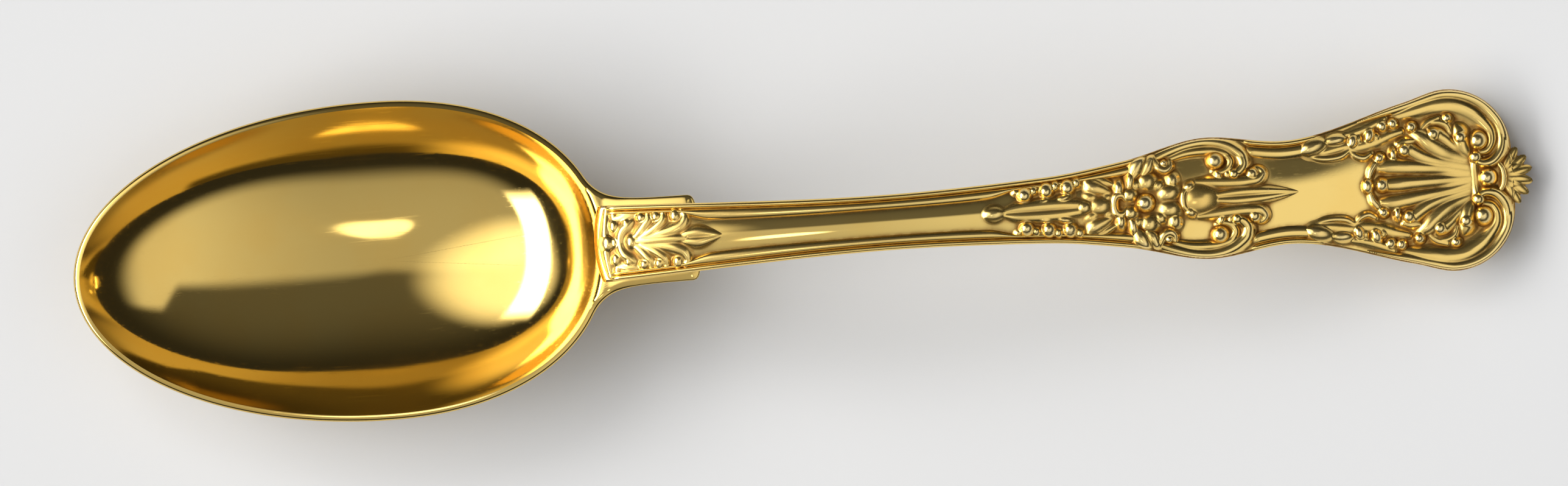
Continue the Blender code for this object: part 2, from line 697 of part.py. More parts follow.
# Rosette and its boss, with a leaf reaching over each edge
rosette = bmesh.new()
for i in range(PETALS):
    turn = 2 * math.pi * i / PETALS
    outward = Vector((math.cos(turn), math.sin(turn)))
    middle = Vector((ROSETTE, 0))
    leaf(rosette, middle + PETAL_INNER * outward, middle + PETAL_OUTER * outward, PETAL_WIDTH, taper=-0.1)
mount("rosette", rosette)
boss = bmesh.new()
bead(boss, ROSETTE, 0, BALL_RADIUS, ROSETTE_BOSS_HEIGHT)
mount("rosette_boss", boss)
for side_name, side in SIDES:
    wing = bmesh.new()
    edge = half_width(ROSETTE + WING_TIP_REACH)
    root = (ROSETTE + WING_ROOT[0], side * (edge - WING_ROOT[1]))
    leaf(wing, root, (ROSETTE + WING_TIP_REACH, side * edge), WING_WIDTH)
    curl = (ROSETTE + WING_CURL[0], side * (edge - WING_CURL[1]))
    leaf(wing, root, curl, WING_CURL_WIDTH, taper=0)
    mount(f"{side_name}_wing_leaf", wing)

# Leaves above the rosette: a bud with a long leaf and two side leaves
waist_leaves = bmesh.new()
BUD = LOBE_CREST - BUD_TO_LOBE_CREST
bud_end = BUD + BUD_LENGTH / 2
leaf(waist_leaves, (BUD - BUD_LENGTH / 2, 0), (bud_end, 0), BUD_WIDTH, taper=0.1)
leaf(waist_leaves, (bud_end - FORM_LAP, 0), (WAIST + LONG_LEAF_PAST_WAIST, 0), LONG_LEAF_WIDTH)
for side in (LEFT, RIGHT):
    root = (bud_end - FORM_LAP, side * SIDE_LEAF_ROOT_ACROSS)
    tip = (WAIST - SIDE_LEAF_TO_WAIST, side * SIDE_LEAF_ACROSS)
    leaf(waist_leaves, root, tip, SIDE_LEAF_WIDTH, taper=0)
mount("waist_leaves", waist_leaves)

# Sprigs of leaves and berries along the edges into the broad end
for side_name, side in SIDES:
    sprig = bmesh.new()
    start = WAIST + WAIST_TO_SPRIG
    places = [(start + along, side * (half_width(start + along) - inset)) for along, inset in SPRIG_STEPS]
    first_root = (start, side * (half_width(start) - SPRIG_START_INSET))
    leaf(sprig, first_root, places[1], SPRIG_LEAF_WIDTH, taper=-0.2)
    for first, second in zip(places, places[1:]):
        leaf(sprig, first, second, SPRIG_STALK_WIDTH, taper=0)
    for berry in places[1:]:
        bead(sprig, *berry, SPRIG_BERRY_RADIUS)
    tip = start + SPRIG_TIP_REACH
    leaf(sprig, places[-1], (tip, side * (half_width(tip) - SPRIG_TIP_INSET)), SPRIG_TIP_WIDTH)
    mount(f"{side_name}_berry_sprig", sprig)

# Scallop shell: seven ribs from a hinge, each ending in a round lobe
shell = bmesh.new()
HINGE = END_CREST + END_CREST_TO_HINGE
for along, across in SHELL_RIBS:
    for side in (LEFT, RIGHT)[: 2 if across else 1]:
        tip = (HINGE + along, side * across)
        leaf(shell, (HINGE, side * across / 8), tip, RIB_WIDTH, RIB_HEIGHT, taper=-0.35)
        bead(shell, *tip, RIB_LOBE_RADIUS)
ellipsoid(shell, HINGE, 0, HINGE_LENGTH, HINGE_WIDTH, RELIEF)
front = HINGE + SHELL_RIBS[0][0]
leaf(shell, (front, 0), (front - SHELL_FRONT_LENGTH, 0), SHELL_FRONT_WIDTH)
mount("scallop_shell", shell)

# Balls in the curls
for side_name, side in SIDES:
    lobe_ball = (LOBE_EYE[0] - LOBE_BALL_BACK, LOBE_EYE[1])
    for where, (station, across) in (("lobe", lobe_ball), ("end", END_EYE)):
        ball = bmesh.new()
        bead(ball, station, side * across, BALL_RADIUS, BALL_HEIGHT)
        mount(f"{side_name}_{where}_ball", ball)

# Boss and fan at the very end
boss = bmesh.new()
bead(boss, BAR_END - BOSS_TO_BAR_END, 0, BALL_RADIUS, BALL_HEIGHT)
mount("end_boss", boss)
fan = bmesh.new()
FAN_ROOT = BAR_END - FAN_IN_BAR
for i in range(FAN_RAYS):
    from_middle = i - (FAN_RAYS - 1) / 2
    turn = math.radians(FAN_RAY_DEGREES * from_middle)
    length = (LENGTH - FAN_ROOT) * (1 - 0.05 * abs(from_middle))
    tip = (FAN_ROOT + length * math.cos(turn), length * math.sin(turn))
    leaf(fan, (FAN_ROOT - RAY_ROOT, 0), tip, RAY_WIDTH, RAY_HEIGHT, taper=-0.15)
mount("end_fan", fan)
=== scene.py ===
import math

import bpy
import numpy as np
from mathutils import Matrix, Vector


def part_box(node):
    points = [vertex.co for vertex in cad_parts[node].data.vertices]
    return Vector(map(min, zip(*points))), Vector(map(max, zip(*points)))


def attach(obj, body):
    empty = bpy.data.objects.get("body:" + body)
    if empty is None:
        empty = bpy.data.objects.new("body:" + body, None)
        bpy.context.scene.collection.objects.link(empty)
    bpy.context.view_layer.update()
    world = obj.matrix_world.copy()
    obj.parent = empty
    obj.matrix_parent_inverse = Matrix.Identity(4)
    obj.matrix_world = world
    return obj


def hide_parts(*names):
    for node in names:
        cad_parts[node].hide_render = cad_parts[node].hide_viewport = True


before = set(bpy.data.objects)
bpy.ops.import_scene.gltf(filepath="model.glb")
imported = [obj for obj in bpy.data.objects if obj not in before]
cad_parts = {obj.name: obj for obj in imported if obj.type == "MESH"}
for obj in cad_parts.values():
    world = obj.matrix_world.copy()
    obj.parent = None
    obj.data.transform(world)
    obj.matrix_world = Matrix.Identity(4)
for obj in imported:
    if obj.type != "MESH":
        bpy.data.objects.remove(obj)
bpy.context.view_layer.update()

# Bowl: a sheet of silver raised into an egg-shaped hollow, gilt and polished to a mirror. Its rim
# is filed to a narrow sloping band, and at the heel the sheet rolls over into the flat tongue that
# carries the handle. Lengths are in millimetres; a station is a distance from the bowl's tip.
MM = 0.001
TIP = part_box("bowl")[0].x / MM
WIDEST = 46
HEEL = 80
TONGUE_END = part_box("bowl")[1].x / MM - TIP
BOWL_WIDTH = (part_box("bowl")[1].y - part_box("bowl")[0].y) / MM
HEEL_FULLNESS = 2.2
TONGUE_WIDTH = 12.8
TONGUE_END_ROUND = 1.8
TONGUE_END_POWER = 4
NECK_FLARE = 4.1
NECK_ROLL = 0.6
BOWL_WALL = 1.5
BACK_FULLNESS = 2.2
SIDE_STEEPNESS = 0.25
END_STEEPNESS = 0.15
SIDE_TURN_POWER = 5
END_TURN_POWER = 3
PAST_RIM_SHARE = 1.4
RIM_TIP_HEIGHT = 13.4
RIM_RISE_POWER = 1.5
RIM_BAND = 0.95
RIM_FALL = 0.7
TONGUE_LIP = 1.5
TONGUE_LIP_FALL = 0.4
TONGUE_LIP_RUN = 4
WORN_FLAT = 0.25
SOLDER_GAP = 0.25
SMOOTH_ANGLE = math.radians(40)
ROUNDING = 1e-6
BOWL_RAYS = 320
BOWL_RINGS = 90
RIM_RINGS = 6
OUTLINE_STEPS = 6000
NECK_RUN = 7
NECK_CLOSENESS = 2.2
SLIMMEST = 122
WAIST = 182.2
BAR_END = 217
ARCH_STEPS = 801
ARCH_CURVE = np.array([(HEEL, 19.5), (HEEL + 33, 31.5), (BAR_END - 53, 18.1), (BAR_END, 3.1)])


def curve(places, values, tangents, at):
    """Values at some places of the curve that has these values and tangents at its own places."""
    i = np.clip(np.searchsorted(places, at) - 1, 0, len(places) - 2)
    step = places[i + 1] - places[i]
    t = (at - places[i]) / step
    return (
        (1 + 2 * t) * (1 - t) ** 2 * values[i]
        + t * (1 - t) ** 2 * step * tangents[i]
        + t**2 * (3 - 2 * t) * values[i + 1]
        + t**2 * (t - 1) * step * tangents[i + 1]
    )


def smooth_through(points, at):
    """Values at some places of a smooth curve through (place, value) points, with no overshoot."""
    places, values = np.array(points, float).T
    steps = np.diff(places)
    slopes = np.diff(values) / steps
    tangents = np.concatenate([slopes[:1], np.zeros(len(slopes) - 1), slopes[-1:]])
    for i in range(1, len(slopes)):
        if slopes[i - 1] * slopes[i] > 0:
            near = 2 * steps[i] + steps[i - 1]
            far = steps[i] + 2 * steps[i - 1]
            tangents[i] = (near + far) / (near / slopes[i - 1] + far / slopes[i])
    return curve(places, values, tangents, at)


def arch(station):
    """Height of the handle's top line, straight on past both its ends."""
    t = np.linspace(0, 1, ARCH_STEPS)[:, None]
    start, lift, fall, end = ARCH_CURVE
    line = (1 - t) ** 3 * start + 3 * t * (1 - t) ** 2 * lift + 3 * t**2 * (1 - t) * fall + t**3 * end
    inside = np.clip(station, HEEL, BAR_END)
    before = (station - inside) * (lift - start)[1] / (lift - start)[0]
    after = (station - inside) * (end - fall)[1] / (end - fall)[0]
    return np.interp(inside, line[:, 0], line[:, 1]) + np.where(station < HEEL, before, after)


def bar_thickness(station):
    thicknesses = ((HEEL, 2.8), (SLIMMEST, 3.4), (WAIST, 2.6), (BAR_END, 2.4))
    return smooth_through(thicknesses, np.clip(station, HEEL, BAR_END))


def tongue_under(station):
    flat = arch(np.maximum(station, HEEL)) - bar_thickness(station)
    return flat - SOLDER_GAP - BOWL_WALL


def egg_reach(angle):
    """Distance from the bowl's widest place to its rim, in this direction."""
    heelward = np.cos(angle) > 0
    along = np.where(heelward, HEEL - WIDEST, WIDEST)
    power = np.where(heelward, HEEL_FULLNESS, 2)
    share = np.abs(np.cos(angle) / along) ** power + np.abs(np.sin(angle) / (BOWL_WIDTH / 2)) ** power
    return share ** (-1 / power)


def rolled(wall, top):
    """The wall's height, rolling over smoothly where it reaches the tongue's."""
    over = (wall - top) / NECK_ROLL
    return wall - NECK_ROLL * (np.log1p(np.exp(-np.abs(over))) + np.maximum(over, 0))


def rim_height(angle):
    rim_station = WIDEST + egg_reach(angle) * np.cos(angle)
    rise = tongue_under(np.array(HEEL)) - RIM_TIP_HEIGHT
    return RIM_TIP_HEIGHT + rise * (np.maximum(rim_station, 0) / HEEL) ** RIM_RISE_POWER


def bowl_under(station, across):
    angle = np.arctan2(across, station - WIDEST)
    reach = egg_reach(angle)
    share = np.hypot(station - WIDEST, across) / reach
    along = np.where(np.cos(angle) > 0, HEEL - WIDEST, WIDEST)
    fullness = BACK_FULLNESS + (reach * np.cos(angle) / along) ** 2
    wall = (rim_height(angle) + WORN_FLAT) * share**fullness - WORN_FLAT
    return np.maximum(rolled(wall, tongue_under(station)), 0)


def bowl_inside(station, across):
    """A gently rounded floor that turns up steeply near the rim."""
    angle = np.arctan2(across, station - WIDEST)
    share = np.hypot(station - WIDEST, across) / (egg_reach(angle) - RIM_BAND)
    depth = rim_height(angle) - SOLDER_GAP
    steep = SIDE_STEEPNESS + END_STEEPNESS * np.cos(angle) ** 2
    power = SIDE_TURN_POWER + END_TURN_POWER * np.cos(angle) ** 2
    turn = np.minimum(share, PAST_RIM_SHARE) ** power
    wall = BOWL_WALL + depth * ((1 - steep) * share**2 + steep * turn)
    return rolled(wall, tongue_under(station) + BOWL_WALL)


def bowl_outline(count):
    """Half the outline from the tongue's end to the tip, as count + 1 points and their normals."""
    join_share = (1 - ((TONGUE_WIDTH / 2 + NECK_FLARE) / (BOWL_WIDTH / 2)) ** HEEL_FULLNESS) ** (
        1 / HEEL_FULLNESS
    )
    join = WIDEST + (HEEL - WIDEST) * join_share
    fall = join_share ** (HEEL_FULLNESS - 1) * (1 - join_share**HEEL_FULLNESS) ** (1 / HEEL_FULLNESS - 1)
    fall *= BOWL_WIDTH / 2 / (HEEL - WIDEST)
    stations = TONGUE_END / 2 * (1 + np.cos(np.linspace(0, math.pi, OUTLINE_STEPS)))
    heelward = stations > WIDEST
    along = np.abs(stations - WIDEST) / np.where(heelward, HEEL - WIDEST, WIDEST)
    power = np.where(heelward, HEEL_FULLNESS, 2)
    egg = BOWL_WIDTH / 2 * np.maximum(1 - along**power, 0) ** (1 / power)
    flare = NECK_FLARE * np.exp((join - np.maximum(stations, join)) * fall / NECK_FLARE)
    past = np.maximum(stations - (TONGUE_END - TONGUE_END_ROUND), 0) / TONGUE_END_ROUND
    neck = (TONGUE_WIDTH / 2 + flare) * np.maximum(1 - past**TONGUE_END_POWER, 0) ** (1 / TONGUE_END_POWER)
    outline = np.column_stack([stations, np.where(stations < join, egg, neck)])
    outline = np.concatenate([[(TONGUE_END, 0)], outline])
    closeness = np.where(outline[1:, 0] > HEEL - NECK_RUN, NECK_CLOSENESS, 1)
    lengths = np.hypot(*np.diff(outline, axis=0).T) * closeness
    run = np.concatenate([[0], np.cumsum(lengths)])
    wanted = np.linspace(0, run[-1], count + 1)
    points = np.column_stack([np.interp(wanted, run, outline[:, k]) for k in (0, 1)])
    turned = np.gradient(points, axis=0)
    normals = np.column_stack([turned[:, 1], -turned[:, 0]])
    normals[[0, -1]] = (1, 0), (-1, 0)
    return points, normals / np.hypot(*normals.T)[:, None]


def vertices(piece):
    points = np.empty(len(piece.data.vertices) * 3)
    piece.data.vertices.foreach_get("co", points)
    return points.reshape(-1, 3)


def shape(piece, station, across, height):
    """Moves a mesh's vertices to these places on the spoon."""
    points = np.column_stack([station + TIP, across, height]) * MM
    piece.data.vertices.foreach_set("co", points.ravel())
    piece.data.update()


def finish(piece, name, node, material):
    """Names and shades a finished piece, and has it stand for its node."""
    piece.name = name
    piece.data.name = name
    bpy.ops.object.select_all(action="DESELECT")
    piece.select_set(True)
    bpy.context.view_layer.objects.active = piece
    bpy.ops.object.mode_set(mode="EDIT")
    bpy.ops.mesh.select_all(action="SELECT")
    bpy.ops.mesh.normals_make_consistent(inside=False)
    bpy.ops.object.mode_set(mode="OBJECT")
    bpy.ops.object.shade_smooth_by_angle(angle=SMOOTH_ANGLE)
    piece.data.materials.clear()
    piece.data.materials.append(material)
    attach(piece, "root")
    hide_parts(node)


def add_node(tree, kind, inputs, **settings):
    """Adds a node with its settings, and with values or other nodes' outputs in its inputs."""
    node = tree.nodes.new(kind)
    for name, value in settings.items():
        setattr(node, name, value)
    for name, value in inputs.items():
        if isinstance(value, bpy.types.NodeSocket):
            tree.links.new(value, node.inputs[name])
        else:
            node.inputs[name].default_value = value
    return node


def calculate(tree, operation, *values):
    return add_node(tree, "ShaderNodeMath", dict(enumerate(values)), operation=operation).outputs[0]


def remap(tree, value, low, high, start, end):
    """Start below low and end above high, with a soft change between them."""
    limits = {"From Min": low, "From Max": high, "To Min": start, "To Max": end}
    node = add_node(tree, "ShaderNodeMapRange", {"Value": value, **limits}, interpolation_type="SMOOTHSTEP")
    return node.outputs["Result"]


def blend(tree, share, first, second):
    """Mixes two colours."""
    node = tree.nodes.new("ShaderNodeMix")
    node.data_type = "RGBA"
    sockets = [socket for socket in node.inputs if socket.enabled]
    for socket, value in zip(sockets, (share, first, second)):
        if isinstance(value, bpy.types.NodeSocket):
            tree.links.new(value, socket)
        else:
            socket.default_value = value
    return next(socket for socket in node.outputs if socket.enabled)


SCRATCHES = ((12, 60, 2600), (-35, 90, 3100))
SCRATCH_LEVELS = (0.62, 0.72, 0, 1)
PATCH_SCALE = 800
PATCH_LEVELS = (0.25, 0.7, 0.6, 1)
# Places low against their surroundings are painted darker and duller: painted shade, with some dirt.
SHADE_AND_DIRT_LEVELS = (-0.55, -0.04, 1, 0)
# High places get a paler gold: rubbed wear, and a painted highlight as well.
RUB_AND_HIGHLIGHT_LEVELS = (0.1, 0.9, 0, 1)
SMUDGE_SCALE = 75
SMUDGE_LEVELS = (0.38, 0.68, 0, 1)
GRAIN_SCALE = 2400
SMUDGE_DULLING = 0.05
HAIRLINE_DULLING = 0.06
SHADE_AND_DIRT_DULLING = 0.3
SMUDGE_SHARE = 0.6
HAIRLINE_DEPTH = -0.1
BUMP_STRENGTH = 0.1
BUMP_HEIGHT = 0.00004
RED_GOLD = (1, 0.93, 0.8)
# The dark brown of the hollows is painted shade, with some dirt.
SHADE_AND_DIRT = (0.25, 0.11, 0.02, 1)


def hairlines(tree, place, degrees, along, aside):
    """Fine scratches in one direction, as a mask."""
    stretched = add_node(
        tree,
        "ShaderNodeMapping",
        {"Vector": place, "Rotation": (0, 0, math.radians(degrees)), "Scale": (along, aside, aside)},
    )
    noise = add_node(tree, "ShaderNodeTexNoise", {"Vector": stretched.outputs[0], "Scale": 1, "Detail": 2})
    return remap(tree, noise.outputs["Fac"], *SCRATCH_LEVELS)


wear_and_shade = bpy.data.node_groups.new("gilding_wear_and_shade", "ShaderNodeTree")
wear_and_shade.interface.new_socket("Place", in_out="INPUT", socket_type="NodeSocketVector")
wear_and_shade.interface.new_socket("Relief", in_out="INPUT", socket_type="NodeSocketFloat")
for name in ("ShadeAndDirt", "RubbedAndHighlit", "Smudges", "Hairlines"):
    wear_and_shade.interface.new_socket(name, in_out="OUTPUT", socket_type="NodeSocketFloat")
given = wear_and_shade.nodes.new("NodeGroupInput").outputs
patches = add_node(
    wear_and_shade, "ShaderNodeTexNoise", {"Vector": given["Place"], "Scale": PATCH_SCALE, "Detail": 3}
)
patchy = remap(wear_and_shade, patches.outputs["Fac"], *PATCH_LEVELS)
hand_marks = add_node(
    wear_and_shade, "ShaderNodeTexNoise", {"Vector": given["Place"], "Scale": SMUDGE_SCALE, "Detail": 5}
)
wear_and_shade_masks = {
    # Mask of the painted shade, with some dirt, in the hollows.
    "ShadeAndDirt": calculate(wear_and_shade, "MULTIPLY", remap(wear_and_shade, given["Relief"], *SHADE_AND_DIRT_LEVELS), patchy),
    # Mask of the rubbed wear and painted highlight on high places.
    "RubbedAndHighlit": remap(wear_and_shade, given["Relief"], *RUB_AND_HIGHLIGHT_LEVELS),
    "Smudges": remap(wear_and_shade, hand_marks.outputs["Fac"], *SMUDGE_LEVELS),
    "Hairlines": calculate(
        wear_and_shade, "MAXIMUM", *(hairlines(wear_and_shade, given["Place"], *scratch) for scratch in SCRATCHES)
    ),
}
add_node(wear_and_shade, "NodeGroupOutput", wear_and_shade_masks)


def gilt(name, gold, pale_gold, roughness, grain):
    """Fire-gilt silver: high places paler as wear and painted highlight, hollows brown as painted shade and
    dirt.
    """
    material = bpy.data.materials.new(name)
    material.use_nodes = True
    tree = material.node_tree
    shader = tree.nodes["Principled BSDF"]
    place = add_node(tree, "ShaderNodeTexCoord", {}).outputs["Object"]
    relief = add_node(tree, "ShaderNodeAttribute", {}, attribute_name="relief").outputs["Fac"]
    marks = add_node(tree, "ShaderNodeGroup", {"Place": place, "Relief": relief}, node_tree=wear_and_shade).outputs
    red_gold = (*(part * share for part, share in zip(gold, RED_GOLD)), 1)
    smudged = calculate(tree, "MULTIPLY", marks["Smudges"], SMUDGE_SHARE)
    colour = blend(tree, smudged, (*gold, 1), red_gold)
    # Paler gold on high places: rubbed wear and painted highlight.
    colour = blend(tree, marks["RubbedAndHighlit"], colour, (*pale_gold, 1))
    # Painted shade, with some dirt, in the hollows.
    colour = blend(tree, marks["ShadeAndDirt"], colour, SHADE_AND_DIRT)
    tree.links.new(colour, shader.inputs["Base Color"])
    shader.inputs["Metallic"].default_value = 1
    polish = calculate(tree, "MULTIPLY_ADD", marks["Smudges"], SMUDGE_DULLING, roughness)
    polish = calculate(tree, "MULTIPLY_ADD", marks["Hairlines"], HAIRLINE_DULLING, polish)
    polish = calculate(tree, "MULTIPLY_ADD", marks["ShadeAndDirt"], SHADE_AND_DIRT_DULLING, polish)
    tree.links.new(polish, shader.inputs["Roughness"])
    pits = add_node(tree, "ShaderNodeTexNoise", {"Vector": place, "Scale": GRAIN_SCALE, "Detail": 2})
    scratches = calculate(tree, "MULTIPLY", marks["Hairlines"], HAIRLINE_DEPTH)
    surface = calculate(tree, "MULTIPLY_ADD", pits.outputs["Fac"], grain, scratches)
    bump = add_node(
        tree, "ShaderNodeBump", {"Height": surface, "Strength": BUMP_STRENGTH, "Distance": BUMP_HEIGHT}
    )
    tree.links.new(bump.outputs[0], shader.inputs["Normal"])
    return material


# The bowl and the drop under it get a darker copy of the handle's gilt: painted shade.
bowl_gilt_shaded = gilt("bowl_gilt_shaded", (0.76, 0.535, 0.16), (0.82, 0.6, 0.21), roughness=0.05, grain=0.1)

bpy.ops.object.select_all(action="DESELECT")
bpy.ops.mesh.primitive_uv_sphere_add(segments=BOWL_RAYS, ring_count=2 * BOWL_RINGS, radius=1)
bowl = bpy.context.object
sphere = vertices(bowl)
ring = (1 - np.abs(np.arcsin(np.clip(sphere[:, 2], -1, 1))) / (math.pi / 2)) * BOWL_RINGS
ray = np.rint(np.arctan2(sphere[:, 1], sphere[:, 0]) / (2 * math.pi) * BOWL_RAYS).astype(int)
outline, normals = bowl_outline(BOWL_RAYS // 2)
side = np.where(ray < 0, -1, 1)[:, None] * np.array((0, 1)) + np.array((1, 0))
outer_edge = outline[np.abs(ray)] * side
outward = normals[np.abs(ray)] * side
on_tongue = np.clip((outer_edge[:, :1] - HEEL) / TONGUE_LIP_RUN, 0, 1)
rim_band = RIM_BAND + (TONGUE_LIP - RIM_BAND) * on_tongue
rim_fall = RIM_FALL + (TONGUE_LIP_FALL - RIM_FALL) * on_tongue[:, 0]
inner_edge = outer_edge - rim_band * outward
inner_rings = BOWL_RINGS - RIM_RINGS
centre = np.array((WIDEST, 0))
share = np.minimum(ring / inner_rings, 1)[:, None]
round_turn = np.maximum(ring - inner_rings, 0) / RIM_RINGS * math.pi / 2
hollow = centre + (inner_edge - centre) * share + rim_band * np.sin(round_turn)[:, None] * outward
hollow_height = bowl_inside(*(centre + (inner_edge - centre) * share).T)
hollow_height -= rim_fall * (1 - np.cos(round_turn))
back = centre + (outer_edge - centre) * (ring / BOWL_RINGS)[:, None]
is_hollow = sphere[:, 2] > -ROUNDING
plan = np.where(is_hollow[:, None], hollow, back)
shape(bowl, *plan.T, np.where(is_hollow, hollow_height, bowl_under(*back.T)))
finish(bowl, "bowl_shell", "bowl", bowl_gilt_shaded)

# Drop under the heel: a tongue of silver soldered along the back of the bowl, round in front and
# thinned out behind, which stiffens the neck.
DROP_START = 63
DROP_END = 93
DROP_FRONT_ROUND = 6
DROP_WIDTH = 8.4
DROP_DEPTH = 1.75
DROP_FRONT_CUT = 0.97
DROP_TAPER = 0.8
DROP_ROUND = 1.3
DROP_LIFT = 0.05
DROP_BEDDING = 0.5
DROP_POINTS = 33
DROP_FRONT_STEPS = 24
DROP_STEPS = 60


def sweep(stations, section):
    """A closed bar along the spoon: section(station) gives the loop of (across, height) points."""
    loops = np.array([section(station) for station in stations])
    rows, columns = loops.shape[:2]
    bpy.ops.object.select_all(action="DESELECT")
    bpy.ops.mesh.primitive_grid_add(x_subdivisions=rows - 1, y_subdivisions=columns, size=1)
    bar = bpy.context.object
    grid = vertices(bar)
    row = np.rint((grid[:, 0] + 0.5) * (rows - 1)).astype(int)
    column = np.rint((grid[:, 1] + 0.5) * columns).astype(int) % columns
    shape(bar, np.array(stations)[row], *loops[row, column].T)
    bpy.ops.object.mode_set(mode="EDIT")
    bpy.ops.mesh.select_all(action="SELECT")
    bpy.ops.mesh.remove_doubles(threshold=ROUNDING)
    bpy.ops.mesh.select_all(action="DESELECT")
    bpy.ops.mesh.select_non_manifold()
    bpy.ops.mesh.edge_face_add()
    bpy.ops.object.mode_set(mode="OBJECT")
    return bar


def drop_section(station):
    before = max(DROP_START + DROP_FRONT_ROUND - station, 0) / DROP_FRONT_ROUND
    half = DROP_WIDTH / 2 * math.sqrt(1 - DROP_FRONT_CUT * before**2)
    share = np.sin(np.linspace(-1, 1, DROP_POINTS) * math.pi / 2)
    thin = 1 - DROP_TAPER * max(station - HEEL, 0) / (DROP_END - HEEL)
    depth = DROP_DEPTH * thin * np.sqrt(1 - share**2) ** DROP_ROUND * 2 * half / DROP_WIDTH
    back = bowl_under(station, share * half)
    outside = np.column_stack([share * half, back - depth + DROP_LIFT])
    bedding = np.column_stack([share * half, back + DROP_BEDDING])
    return np.concatenate([outside, bedding[::-1]])


drop_stations = np.concatenate(
    [
        DROP_START + DROP_FRONT_ROUND * (1 - np.cos(np.linspace(0, math.pi / 2, DROP_FRONT_STEPS))),
        np.linspace(DROP_START + DROP_FRONT_ROUND, DROP_END, DROP_STEPS)[1:],
    ]
)
heel_drop = sweep(drop_stations, drop_section)
finish(heel_drop, "heel_drop_tongue", "heel_drop", bowl_gilt_shaded)

# Handle bar: forged silver, drawn slim behind the neck and spread into two lobes, a waist and a
# broad end. Its front is rounded down onto the bowl's tongue, its face is crowned between the
# mouldings, and its back is plain.
SWELL = 146
LOBE_ROOT = 158
LOBE_CREST = 170.6
SHOULDER = 201
END_CREST = 207.4
BROAD_END_WIDTH = 27.4
BAR_END_WIDTH = 9
THREAD_BANDS = (
    (HEEL, 1.5),
    (90, 1.5),
    (96, 2.6),
    (SLIMMEST, 2.2),
    (137, 2.3),
    (142, 1.5),
    (150, 1.7),
    (LOBE_ROOT, 2.3),
    (WAIST, 2.75),
)
CROWN = 0.5
NOSE_START = 78.3
NOSE_LENGTH = 0.7
NOSE_BEVEL = 2.2
NOSE_BEVEL_FALL = 0.28
NOSE_SETBACK = 0.8
BACK_DRAFT = 0.7
EDGE_ROUND = 0.5
FACE_POINTS = 121
NOSE_POINT_SHARE = 0.02
THINNEST = 0.05
BACK_PROFILE = ((1, 0.9), (0.995, 0.6), (0.97, 0.25), (0.9, 0.04), (0.5, 0), (0, 0), (-0.5, 0))
BACK_CORNER_POINTS = 4
NOSE_STEPS = 36
BAR_STEPS = 500
END_STEPS = 60
polished_gilt = gilt("polished_gilt", (0.96, 0.69, 0.22), (0.97, 0.74, 0.3), roughness=0.05, grain=0.1)


def half_width(station):
    """Half the bar's width, which is round past the crest of the broad end."""
    widths = (
        (HEEL, 11.4),
        (SLIMMEST, 8.3),
        (SWELL, 9.9),
        (LOBE_ROOT, 13),
        (LOBE_CREST, 18.2),
        (WAIST, 15.5),
        (SHOULDER, 24.3),
        (END_CREST, BROAD_END_WIDTH),
        (BAR_END, BAR_END_WIDTH),
    )
    past = np.clip((station - END_CREST) / (BAR_END - END_CREST), 0, 1)
    round_end = BAR_END_WIDTH + (BROAD_END_WIDTH - BAR_END_WIDTH) * np.sqrt(1 - past**2)
    width = smooth_through(widths, np.clip(station, HEEL, BAR_END))
    return np.where(station > END_CREST, round_end, width) / 2


def thread_band(station):
    return smooth_through(THREAD_BANDS, np.clip(station, HEEL, WAIST))


def bed(station, across):
    """Height of the bar's face: flat under the mouldings and crowned between them."""
    share = np.minimum(np.abs(across) / (half_width(station) - thread_band(station)), 1)
    return arch(station) + CROWN * (1 - share**2)


def bar_bottom(station):
    return np.maximum(arch(station) - bar_thickness(station) - SOLDER_GAP, 0)


def nose_fall(station, across):
    """How far the bar's front, which is rounded in plan as well, falls below its face."""
    front = NOSE_START + NOSE_SETBACK * np.minimum(across / half_width(station), 1) ** 2
    bevel = np.clip((front + NOSE_BEVEL - station) / NOSE_BEVEL, 0, 1)
    before = np.clip((front + NOSE_LENGTH - station) / NOSE_LENGTH, 0, 1)
    height = bed(station, across) - bar_bottom(station) - NOSE_BEVEL_FALL
    return NOSE_BEVEL_FALL * bevel**2 + height * (1 - np.sqrt(1 - before**2))


def face(station, across):
    """Height of the bar's face with its rounded front."""
    return bed(station, across) - nose_fall(station, across)


def bar_section(station):
    front_share = np.clip((station - NOSE_START) / NOSE_SETBACK, NOSE_POINT_SHARE, 1)
    edge = half_width(station) * np.sqrt(front_share)
    across = np.sin(np.linspace(-1, 1, FACE_POINTS) * math.pi / 2) * edge
    rounding = np.clip((np.abs(across) - (edge - EDGE_ROUND)) / EDGE_ROUND, 0, 1)
    bottom = bar_bottom(station)
    top = face(station, across) - EDGE_ROUND * (1 - np.sqrt(1 - rounding**2))
    back_edge = edge - BACK_DRAFT
    back = np.array(BACK_PROFILE)
    back = np.concatenate([back, back[:BACK_CORNER_POINTS][::-1] * (-1, 1)])
    under = np.column_stack([back[:, 0] * back_edge, bottom + back[:, 1]])
    return np.concatenate([np.column_stack([across, np.maximum(top, bottom + THINNEST)]), under])


nose_turns = np.linspace(0, math.pi / 2, NOSE_STEPS)[:-1]
nose_run = NOSE_SETBACK + NOSE_LENGTH
bar_stations = np.concatenate(
    [
        NOSE_START + nose_run * (1 - np.cos(nose_turns)),
        np.linspace(NOSE_START + nose_run, END_CREST, BAR_STEPS)[:-1],
        END_CREST + (BAR_END - END_CREST) * np.sin(np.linspace(0, math.pi / 2, END_STEPS)),
    ]
)
handle_bar = sweep(bar_stations, bar_section)
finish(handle_bar, "handle_bar_forging", "handle_bar", polished_gilt)

